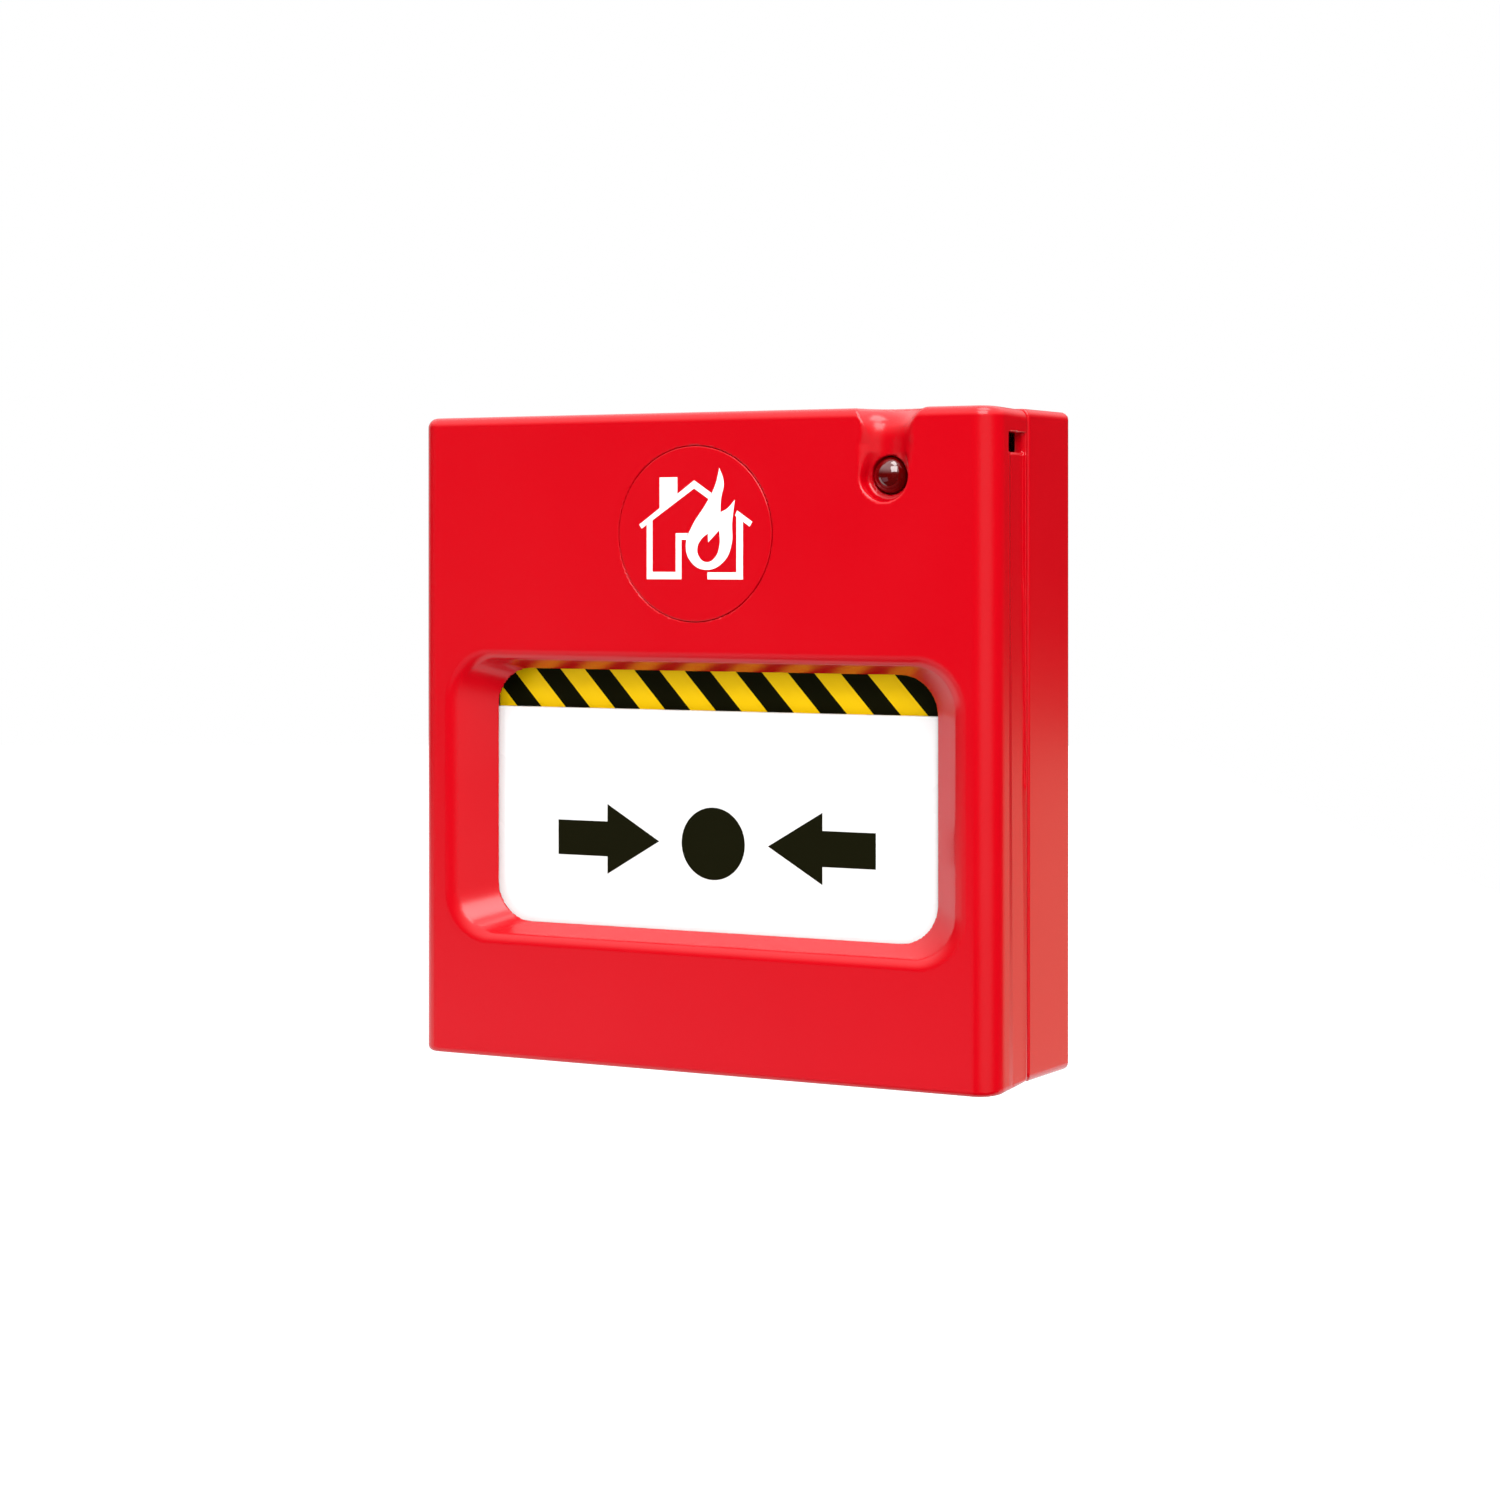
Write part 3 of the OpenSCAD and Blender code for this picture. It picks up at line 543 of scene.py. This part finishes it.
def cover_shell(p):
    """The cover's walls: tapered, with a small lip along the lower front edge, and hollow behind."""
    right_round, left_round, top_round, bottom_round = 3.5, 2.7, 1.4, 0.8
    lip_height, lip_depth = 0.5, 11
    x = np.abs(p[0])
    depth = p[1] - FRONT
    taper = DRAFT * depth
    lip = lip_height * np.clip(1 - depth / lip_depth, 0, 1)
    height = np.maximum(p[2], -p[2] - lip) - HALF_H
    sides = common(x - HALF_W + taper, -depth, np.where(p[0] > 0, right_round, left_round))
    body = common(sides, height + taper, np.where(p[2] > 0, top_round, bottom_round))
    body = common(body, p[1] - SEAM, 0.5)
    inside = common(x - (HALF_W - WALL), np.abs(p[2]) - (HALF_H - WALL), 1.0)
    inside = common(inside, (FRONT + WALL) - p[1], 0.6)
    return cut(body, inside, 0.25)


def add_bosses(body, p):
    """Adds the ring round the window, and thick places behind the indicator and the disc."""
    start = FRONT + 1  # inside the front wall
    left, right = 5.5, 6.5
    ring = np.maximum(rect(p[0], p[2], RING_LOW, RING_HIGH, RING_CORNER),
                      between(p[1], start, RING_BACK))
    body = join(body, ring, 0.5)
    led_boss = block(p, (LED_X - left, start, LED_Z - left),
                     (LED_X + right, LED_BOSS, HALF_H - 1), 0.4)
    body = join(body, led_boss, 0.4)
    disc_boss = drum_y(p, (0, DISC_Z), start, DISC_BOSS, DISC_R + 1, 0.3)
    return join(body, disc_boss, 0.4)


def cut_front(body, p):
    """Cuts the funnel, the indicator's channel and hole, and the disc's seat and stem hole."""
    face_round, ring_round = 0.95, 0.25
    depth_share = np.clip((p[1] - FRONT) / (RING_BACK - FRONT), 0, 1)
    body = cut(body, funnel(p), face_round - (face_round - ring_round) * depth_share)
    channel_round, more_at_bend, bend_z, bend_reach = 0.4, 0.7, HALF_H - 5, 3
    near_bend = np.clip(1 - np.abs(p[2] - bend_z) / bend_reach, 0, 1)
    body = cut(body, led_channel(p), channel_round + more_at_bend * near_bend)
    body = cut(body, drum_y(p, (LED_X, LED_Z), FRONT, 0, LED_HOLE_R), 0.1)
    seat = drum_y(p, (0, DISC_Z), FRONT - 1, DISC_BACK + 0.05, DISC_R + 0.04)
    body = cut(body, seat, 0.1)
    return cut(body, drum_y(p, (0, DISC_Z), FRONT, 0, STEM_R + 0.05), 0.1)


def cut_sides(body, p):
    """Cuts a slot into each side and, below it, a groove that gets shallower towards the bottom."""
    shallow, deep, fade_y, fade_z = 0.12, 0.45, 1.5, 30
    x = np.abs(p[0])
    band = between(p[1], *GROOVE_Y)
    across = np.clip((p[1] - GROOVE_Y[0]) / fade_y, 0, 1)
    along = np.clip((p[2] + fade_z) / (2 * fade_z), 0, 1)
    sunk = across * (shallow + (deep - shallow) * along)
    wall = HALF_W - sunk - DRAFT * (p[1] - FRONT)
    body = cut(body, np.maximum(np.maximum(wall - x, band), p[2] - SLOT_Z[1]))
    slot = np.maximum(np.maximum(HALF_W - 2 * WALL - x, band), between(p[2], *SLOT_Z))
    return cut(body, slot, 0.2)


def add_hooks(body, p):
    """Adds the two hooks that run on the hinge pins, each with a lug to the wall and an opening."""
    lug_length, opening_half, opening_reach = 3.2, 0.65, 2.5
    arm = np.abs(np.abs(p[0]) - HOOK_X) - HOOK_HALF_W
    around = np.hypot(p[1] - HINGE_Y, p[2] - HINGE_Z)
    hook = common(np.maximum(around - HOOK_R, arm), arm, 0.2)
    lug = np.maximum(between(p[1], HINGE_Y - lug_length, HINGE_Y),
                     between(p[2], HINGE_Z - HOOK_R, HINGE_Z - 0.15))
    body = join(body, join(hook, np.maximum(lug, arm), 0.2), 0.2)
    diagonal = np.abs((p[2] - HINGE_Z) - (p[1] - HINGE_Y)) / math.sqrt(2)
    opening = np.maximum(diagonal - opening_half, HINGE_Y - p[1])
    body = cut(body, around - HOOK_BORE_R, 0.05)
    return cut(body, np.maximum(opening, around - opening_reach), 0.1)


def cover_field(p):
    """The whole front cover."""
    body = add_bosses(cover_shell(p), p)
    body = cut_sides(cut_front(body, p), p)
    key_slot = block(p, (-KEY_HALF_W, KEY_Y[0], -HALF_H - 3),
                     (KEY_HALF_W, KEY_Y[1], -HALF_H + 5), 0.3)
    return add_hooks(cut(body, key_slot, 0.2), p)


def make_cover():
    """The cover's shell."""
    finish(solid("cover_shell", cover_field, COVER_LOW, COVER_HIGH, 0.35), "front_cover")


def make_disc():
    """The pictogram's disc, let in flush with the cover, with its locating stem behind it."""
    edge, stem_end = 0.16, DISC_HIGH[1]
    profile = [(0, FRONT), (DISC_R * 0.5, FRONT), (DISC_R - 0.6, FRONT)]
    profile += arc(DISC_R - edge, FRONT + edge, edge, -90, 0)
    profile += [(DISC_R, DISC_BACK - 0.2), (DISC_R - 0.2, DISC_BACK),
                (STEM_R + 0.3, DISC_BACK), (STEM_R, DISC_BACK + 0.3),
                (STEM_R, stem_end - 0.3), (STEM_R - 0.3, stem_end), (0, stem_end)]
    finish(lathe("pictogram_insert", profile, (0, DISC_Z), 144), "pictogram_disc")


def make_pictogram():
    """A house with a chimney and a doorway, and a flame that crosses its right side."""
    house_left = [(-8.7, 1.3), (-5.45, 3.55), (-5.45, 7.75), (-2.66, 7.75), (-2.66, 5.45),
                  (0, 7.3), (2.7, 5.55), (2.25, 4.75), (0, 6.2), (-6.6, 1.9), (-6.6, -5.2),
                  (-2.9, -5.2), (-2.9, 0.1), (-1.0, 0.1), (-1.25, -0.8), (-2.0, -0.8),
                  (-2.0, -6.2), (-7.5, -6.2), (-7.5, 1.3), (-8.3, 0.75)]
    house_right = [(6.7, 3.15), (9.05, 1.6), (8.65, 0.95), (7.6, 1.65), (7.6, -6.2), (2.1, -6.2),
                   (2.1, -5.25), (6.6, -5.25), (6.6, 2.3), (6.4, 2.45)]
    flame = [(3.95, 8.95), (4.62, 7.0, "AUTO"), (4.2, 4.7, "AUTO"), (4.1, 2.9),
             (5.2, 3.45, "AUTO"), (6.35, 4.6), (5.95, 1.7, "AUTO"), (5.8, -1.6, "AUTO"),
             (4.6, -3.8, "AUTO"), (1.9, -4.9, "AUTO"), (-0.5, -3.8, "AUTO"),
             (-1.3, -1.5, "AUTO"), (-0.3, 1.1, "AUTO"), (1.8, 4.0, "AUTO"), (3.3, 6.6, "AUTO")]
    core = [(3.95, 0.5), (3.95, -1.7, "AUTO"), (3.2, -3.3, "AUTO"), (1.85, -3.85, "AUTO"),
            (0.75, -3.1, "AUTO"), (0.5, -1.9, "AUTO"), (1.15, -0.7, "AUTO"), (2.15, 0.05),
            (2.2, -1.15)]
    moved = [[(x, z + DISC_Z, *bend) for x, z, *bend in outline]
             for outline in (house_left, house_right, flame, core)]
    finish(ink("pictogram_print", moved, FRONT), "pictogram")


# ---------------------------------------------------------------- back box


def rear_relief(p):
    """The shallow recess in the back, with pads left at the holes, ejector marks and a knock-out."""
    recess_half, recess_depth, pad_r, cable_pad_r = 40.5, 0.5, 6.5, 8.5
    mark_x, mark_z, mark_r, mark_depth = 33, 32, 2.6, 0.75
    ring_z, ring_r, ring_half_width, ring_depth = 20, 9.5, 0.45, 1.2
    x = np.abs(p[0])
    corners = (-recess_half, -recess_half), (recess_half, recess_half)
    recess = np.maximum(rect(p[0], p[2], *corners, 3), -recess_depth - p[1])
    pads = np.minimum(np.hypot(x - FIXING_X, p[2]) - pad_r,
                      np.hypot(p[0], p[2] - GROMMET_Z) - cable_pad_r)
    recess = common(recess, -pads, 0.2)
    marks = np.maximum(np.hypot(x - mark_x, np.abs(p[2]) - mark_z) - mark_r, -mark_depth - p[1])
    ring = np.abs(np.hypot(p[0], p[2] - ring_z) - ring_r) - ring_half_width
    knockout = np.maximum(ring, -ring_depth - p[1])
    return np.minimum(recess, np.minimum(marks, knockout))


def add_hinge(body, p):
    """Rounds the box round the hinge's axis, frees the cover's hooks and adds the two pins."""
    folded = (np.abs(p[0]), p[1], p[2])  # the left side laid over the right
    around = np.hypot(p[1] - HINGE_Y, p[2] - HINGE_Z)
    corner = np.maximum(p[1] - HINGE_Y, p[2] - HINGE_Z)
    body = cut(body, np.maximum(corner, HOOK_R + 0.05 - around))
    notch_half = HOOK_HALF_W + 0.4
    notch = block(folded, (HOOK_X - notch_half, RIM - 3, -HALF_H - 3),
                  (HOOK_X + notch_half, HINGE_Y + 2, HINGE_Z + 3), 0.3)
    body = cut(body, notch, 0.2)
    pin_half = HOOK_HALF_W + 1.4
    pin = drum_x(folded, (HINGE_Y, HINGE_Z), HOOK_X - pin_half, HOOK_X + pin_half, PIN_R)
    return join(body, pin)


def back_box_field(p):
    """The whole wall box: shell, hinge, screw pillars, fixing holes, cable entry and rear relief."""
    folded = (np.abs(p[0]), p[1], p[2])
    pillar_r, pilot_r, pilot_end = 3, 1.25, -6
    fixing_boss_r, fixing_r = 5, 2.2
    past_wall = (-6, 1)
    body = common(folded[0] - BOX_HIGH[0], np.abs(p[2]) - BOX_HIGH[2], 1.1)
    body = common(body, between(p[1], RIM, 0), 0.3)
    inside = common(folded[0] - (BOX_HIGH[0] - WALL), np.abs(p[2]) - (BOX_HIGH[2] - WALL), 1.0)
    body = cut(body, common(inside, p[1] - FLOOR, 0.6), 0.25)
    body = add_hinge(body, p)
    for z in PILLAR_ZS:
        at = (PILLAR_X, z)
        body = join(body, drum_y(folded, at, CHASSIS_BACK, FLOOR + 0.5, pillar_r, 0.25), 0.5)
        body = cut(body, drum_y(folded, at, CHASSIS_BACK - 2, pilot_end, pilot_r), 0.2)
    at = (FIXING_X, 0)
    body = join(body, drum_y(folded, at, FLOOR - 1.2, FLOOR + 0.5, fixing_boss_r, 0.3), 0.4)
    body = cut(body, drum_y(folded, at, *past_wall, fixing_r), 0.25)
    body = cut(body, drum_y(p, (0, GROMMET_Z), *past_wall, GROMMET_R + 0.05), 0.2)
    return cut(body, rear_relief(p), 0.2)


def make_back_box():
    """The box's shell."""
    low = (BOX_LOW[0], CHASSIS_BACK - 0.2, BOX_LOW[2])
    finish(solid("back_shell", back_box_field, low, BOX_HIGH, 0.3), "back_box")


def make_grommet():
    """A flanged rubber grommet with a lead-in and a thin lip at its bore."""
    bore_r, flange_r, front, roll = 3.5, 7.0, FLOOR - 1.8, 0.5
    profile = [(bore_r, -0.4), (bore_r + 0.4, 0), (GROMMET_R - 0.2, 0), (GROMMET_R, -0.2),
               (GROMMET_R, FLOOR), (flange_r - 0.2, FLOOR)]
    profile += arc(flange_r - roll, front + roll, roll, 0, -90, 5)
    profile += [(bore_r + 0.7, front), (bore_r, front + 0.6), (bore_r, -0.4)]
    finish(lathe("grommet_ring", profile, (0, GROMMET_Z)), "cable_grommet")


# ---------------------------------------------------------------- press plate and hazard strip


def rounded_slab(name, low, high, corner, edge):
    """A flat plate in X and Z between two corners, with round corners and rounded edges."""
    outline = []
    for cx, cz, start in ((high[0] - corner, high[2] - corner, 0),
                          (low[0] + corner, high[2] - corner, 90),
                          (low[0] + corner, low[2] + corner, 180),
                          (high[0] - corner, low[2] + corner, 270)):
        outline += arc(cx, cz, corner, start, start + 90, 8)
    mesh = bpy.data.meshes.new(name)
    work = bmesh.new()
    face = work.faces.new([work.verts.new((x * MM, low[1] * MM, z * MM)) for x, z in outline])
    pushed = bmesh.ops.extrude_face_region(work, geom=[face])
    moved = [v for v in pushed["geom"] if isinstance(v, bmesh.types.BMVert)]
    bmesh.ops.translate(work, verts=moved, vec=(0, (high[1] - low[1]) * MM, 0))
    work.to_mesh(mesh)
    work.free()
    return bevelled(name, mesh, edge, 3)


def make_plate():
    """The press plate's slab and the four pegs that guide it."""
    back, peg_r, peg_end = PLATE_LOW[1] + 1.2, 1.5, PLATE_HIGH[1]
    slab = rounded_slab("press_plate", PLATE_LOW, (PLATE_HIGH[0], back, PLATE_HIGH[2]), 2, 0.2)
    finish(slab, "operating_plate")
    profile = [(0, back), (peg_r + 0.7, back), (peg_r + 0.3, back + 0.15), (peg_r, back + 0.5),
               (peg_r, peg_end - 0.3), (peg_r - 0.3, peg_end), (0, peg_end)]
    for i, at in enumerate(PEGS):
        finish(lathe(f"plate_peg_{i}", profile, at, 48), "operating_plate")


def make_markings():
    """The press dot and the two arrows that point at it."""
    dot_r = 5
    tip, head, tail, half_head, half_tail = 8.6, 17.0, MARKS_HIGH[0], 4.9, 2.45
    arrow = [(tip, 0), (head, half_head), (head, half_tail), (tail, half_tail),
             (tail, -half_tail), (head, -half_tail), (head, -half_head)]
    outlines = [circle(0, DOT_Z, dot_r)]
    for side in (1, -1):
        outlines.append([(side * x, z + DOT_Z) for x, z in arrow])
    finish(ink("plate_print", outlines, PLATE_LOW[1]), "plate_markings")


def clipped(outline, limit):
    """The part of a convex outline between x = -limit and x = limit."""
    for side in (1, -1):
        kept = []
        for a, b in zip(outline, outline[1:] + outline[:1]):
            if side * a[0] <= limit:
                kept.append(a)
            if (side * a[0] <= limit) != (side * b[0] <= limit):
                t = (side * limit - a[0]) / (b[0] - a[0])
                kept.append((side * limit, a[1] + t * (b[1] - a[1])))
        outline = kept
    return outline


def make_strip():
    """The yellow strip behind the plate and its slanted black bars."""
    finish(rounded_slab("hazard_label", STRIP_LOW, STRIP_HIGH, 0.4, 0.06), "hazard_strip")
    pitch, start, lean, margin = 8.16, -5.89, 0.92, 0.02
    low, high = STRIP_LOW[2] + margin, STRIP_HIGH[2] - margin
    bars = []
    for i in range(-5, 5):
        x = start + pitch * i
        left = [(x + lean * (WINDOW[1] - z), z) for z in (high, low)]
        right = [(left_x + pitch / 2, z) for left_x, z in reversed(left)]
        bar = clipped(left + right, STRIP_HIGH[0] - margin)
        if len(bar) > 2:
            bars.append(bar)
    finish(ink("hazard_print", bars, STRIP_LOW[1]), "hazard_stripes")


# ---------------------------------------------------------------- indicator and springs


def make_led():
    """A 5 mm dome with a flange, its tip towards the front."""
    tip, back, flange_r = LED_LOW[1], LED_HIGH[1], 2.9
    profile = arc(0, tip + LED_R, LED_R, -90, 0, 24)
    profile[0] = (0, tip)
    profile += [(LED_R, back - 1.1), (LED_R + 0.1, back - 1), (flange_r - 0.1, back - 1),
                (flange_r, back - 0.9), (flange_r, back - 0.05), (flange_r - 0.05, back), (0, back)]
    finish(lathe("indicator_lens", profile, (LED_X, LED_Z), 64), "status_led")


def make_springs():
    """Coils round the rods and pegs: the drive springs rise along Z, the way they shorten as the plate is lifted,
    and the press springs run back along Y, the way they shorten.
    """
    top = 2.55  # just below the chassis's brackets, against which the drive springs push
    for node, x in (("drive_spring_left", -ROD_X), ("drive_spring_right", ROD_X)):
        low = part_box(node)[0][2] / MM
        spring = helix(node + "_coil", (x, ROD_Y, low), (0, 0, 1), 1.3, 0.25, 10, top - low)
        finish(spring, node)
        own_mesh(spring)
    near, far = (corner[1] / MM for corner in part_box("press_springs"))
    for i, (x, z) in enumerate(PEGS):
        spring = helix(f"press_spring_{i}", (x, near, z), (0, 1, 0), 2.0, 0.16, 3.5, far - near)
        finish(spring, "press_springs")
        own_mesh(spring)


# ---------------------------------------------------------------- pieces with the CAD's own shape


def make_from_node(node, width):
    """A CAD node's own shape with its edges broken, as moulding, stamping or turning leaves them."""
    finish(bevelled(node + "_detail", frame["nodes"][node].data.copy(), width), node)


# how far each node's edges are rounded, in millimetres
EDGE_WIDTHS = {
    "chassis": 0.18, "chassis_screws": 0.12, "circuit_board": 0.06, "pcb_screws": 0.1,
    "resistors": 0.25, "capacitor": 0.35, "driver_chip": 0.06, "terminal_block": 0.2,
    "terminal_screws": 0.1, "terminal_clamps": 0.1, "microswitch_body": 0.15,
    "microswitch_dowels": 0.15, "microswitch_terminals": 0.08, "microswitch_plunger": 0.1,
    "microswitch_lever": 0.05, "led_leads": 0.05, "led_spacer": 0.15, "guide_rods": 0.2,
    "detent_spring": 0.05, "detent_screw": 0.1, "cover_catches": 0.08, "carriage": 0.18,
}


make_cover()
make_disc()
make_pictogram()
make_back_box()
make_grommet()
make_plate()
make_markings()
make_strip()
make_led()
make_springs()
for cad_node, edge_width in EDGE_WIDTHS.items():
    make_from_node(cad_node, edge_width)

# ---------------------------------------------------------------- stage, light and camera


VIEW_TURN = math.radians(28.82)  # the photograph looks this far round from the device's front
WHITE = (1, 1, 1)


def make_floor():
    """A pale floor that glows a little, as a lit studio sweep does. It is turned with the view and
    its near edge lies just before the device, so that the front face doesn't mirror it."""
    bpy.ops.mesh.primitive_plane_add(size=1, location=(-0.72, 0.68, -0.11),
                                     rotation=(0, 0, VIEW_TURN))
    floor = bpy.context.object
    floor.scale = (1.2, 2, 1)
    floor.name = "floor"
    material = bpy.data.materials.new("floor_white")
    material.use_nodes = True
    shader = material.node_tree.nodes["Principled BSDF"]
    shader.inputs["Base Color"].default_value = (0.25, 0.25, 0.25, 1)
    shader.inputs["Roughness"].default_value = 1.0
    shader.inputs["Specular IOR Level"].default_value = 0.0
    shader.inputs["Emission Color"].default_value = (*WHITE, 1)
    shader.inputs["Emission Strength"].default_value = 0.92
    floor.data.materials.append(material)


def make_light(name, place, target, size, power, colour=WHITE, mirrored=True):
    """A soft rectangular light aimed at a target. Unless mirrored, gloss doesn't show it."""
    data = bpy.data.lights.new(name, "AREA")
    data.shape = "RECTANGLE"
    data.size, data.size_y = size
    data.energy = power
    data.color = colour
    lamp = bpy.data.objects.new(name, data)
    lamp.location = place
    lamp.rotation_euler = (Vector(target) - Vector(place)).to_track_quat("-Z", "Y").to_euler()
    lamp.visible_glossy = mirrored
    bpy.context.collection.objects.link(lamp)


def make_world():
    """White where the camera sees it; light comes from a bright ceiling over a dark horizon."""
    world = bpy.data.worlds.new("studio")
    bpy.context.scene.world = world
    world.use_nodes = True
    nodes = world.node_tree.nodes
    links = world.node_tree.links
    place = nodes.new("ShaderNodeTexCoord")
    split = nodes.new("ShaderNodeSeparateXYZ")
    links.new(place.outputs["Generated"], split.inputs["Vector"])
    rise = nodes.new("ShaderNodeMapRange")
    rise.interpolation_type = "SMOOTHSTEP"
    for socket, value in (("From Min", 0.1), ("From Max", 0.75), ("To Min", 0.03), ("To Max", 1.9)):
        rise.inputs[socket].default_value = value
    links.new(split.outputs["Z"], rise.inputs["Value"])
    ceiling = nodes["Background"]
    ceiling.inputs["Color"].default_value = (*WHITE, 1)
    links.new(rise.outputs["Result"], ceiling.inputs["Strength"])
    seen = nodes.new("ShaderNodeBackground")
    seen.inputs["Color"].default_value = (*WHITE, 1)
    seen.inputs["Strength"].default_value = 1.0
    path = nodes.new("ShaderNodeLightPath")
    mix = nodes.new("ShaderNodeMixShader")
    links.new(path.outputs["Is Camera Ray"], mix.inputs["Fac"])
    links.new(ceiling.outputs["Background"], mix.inputs[1])
    links.new(seen.outputs["Background"], mix.inputs[2])
    links.new(mix.outputs["Shader"], nodes["World Output"].inputs["Surface"])


def make_camera():
    """The photograph's view: level, at the pictogram's height, turned to the device's right side."""
    data = bpy.data.cameras.new("camera")
    data.sensor_width = 36
    data.lens = 80.3
    data.shift_y = -0.127
    data.clip_start = 0.01
    camera = bpy.data.objects.new("camera", data)
    camera.location = (0.2268, -0.4214, 0.0248)
    camera.rotation_euler = (math.pi / 2, 0, VIEW_TURN)
    bpy.context.collection.objects.link(camera)
    bpy.context.scene.camera = camera


make_floor()
make_light("overhead", (0.15, -0.06, 0.6), (0, 0, 0), (0.32, 0.32), 2)
make_light("key", (0.42, -0.62, 0.62), (0, 0, 0), (0.6, 0.6), 8)
make_light("soft_fill", (0.75, -0.7, 0), (0, 0, 0), (1, 1), 8.5, mirrored=False)
make_light("left_fill", (-0.8, -0.6, -0.35), (0, 0, 0), (0.8, 0.8), 6, mirrored=False)
# cards whose reflections brighten the lower front, the lower right side and the left
make_light("low_card", (-0.24, -0.46, -0.2), (0, 0, -0.2), (0.4, 0.24), 0.15, (0.85, 0.85, 1))
make_light("warm_card", (0.285, 0.43, -0.145), (0.045, 0, -0.145), (0.3, 0.24), 0.2, (1, 0.86, 0.62))
make_light("left_card", (-0.8, 0.36, 0), (0, 0, 0), (0.6, 0.6), 0.8)
make_world()
make_camera()
bpy.context.scene.view_settings.view_transform = "Standard"
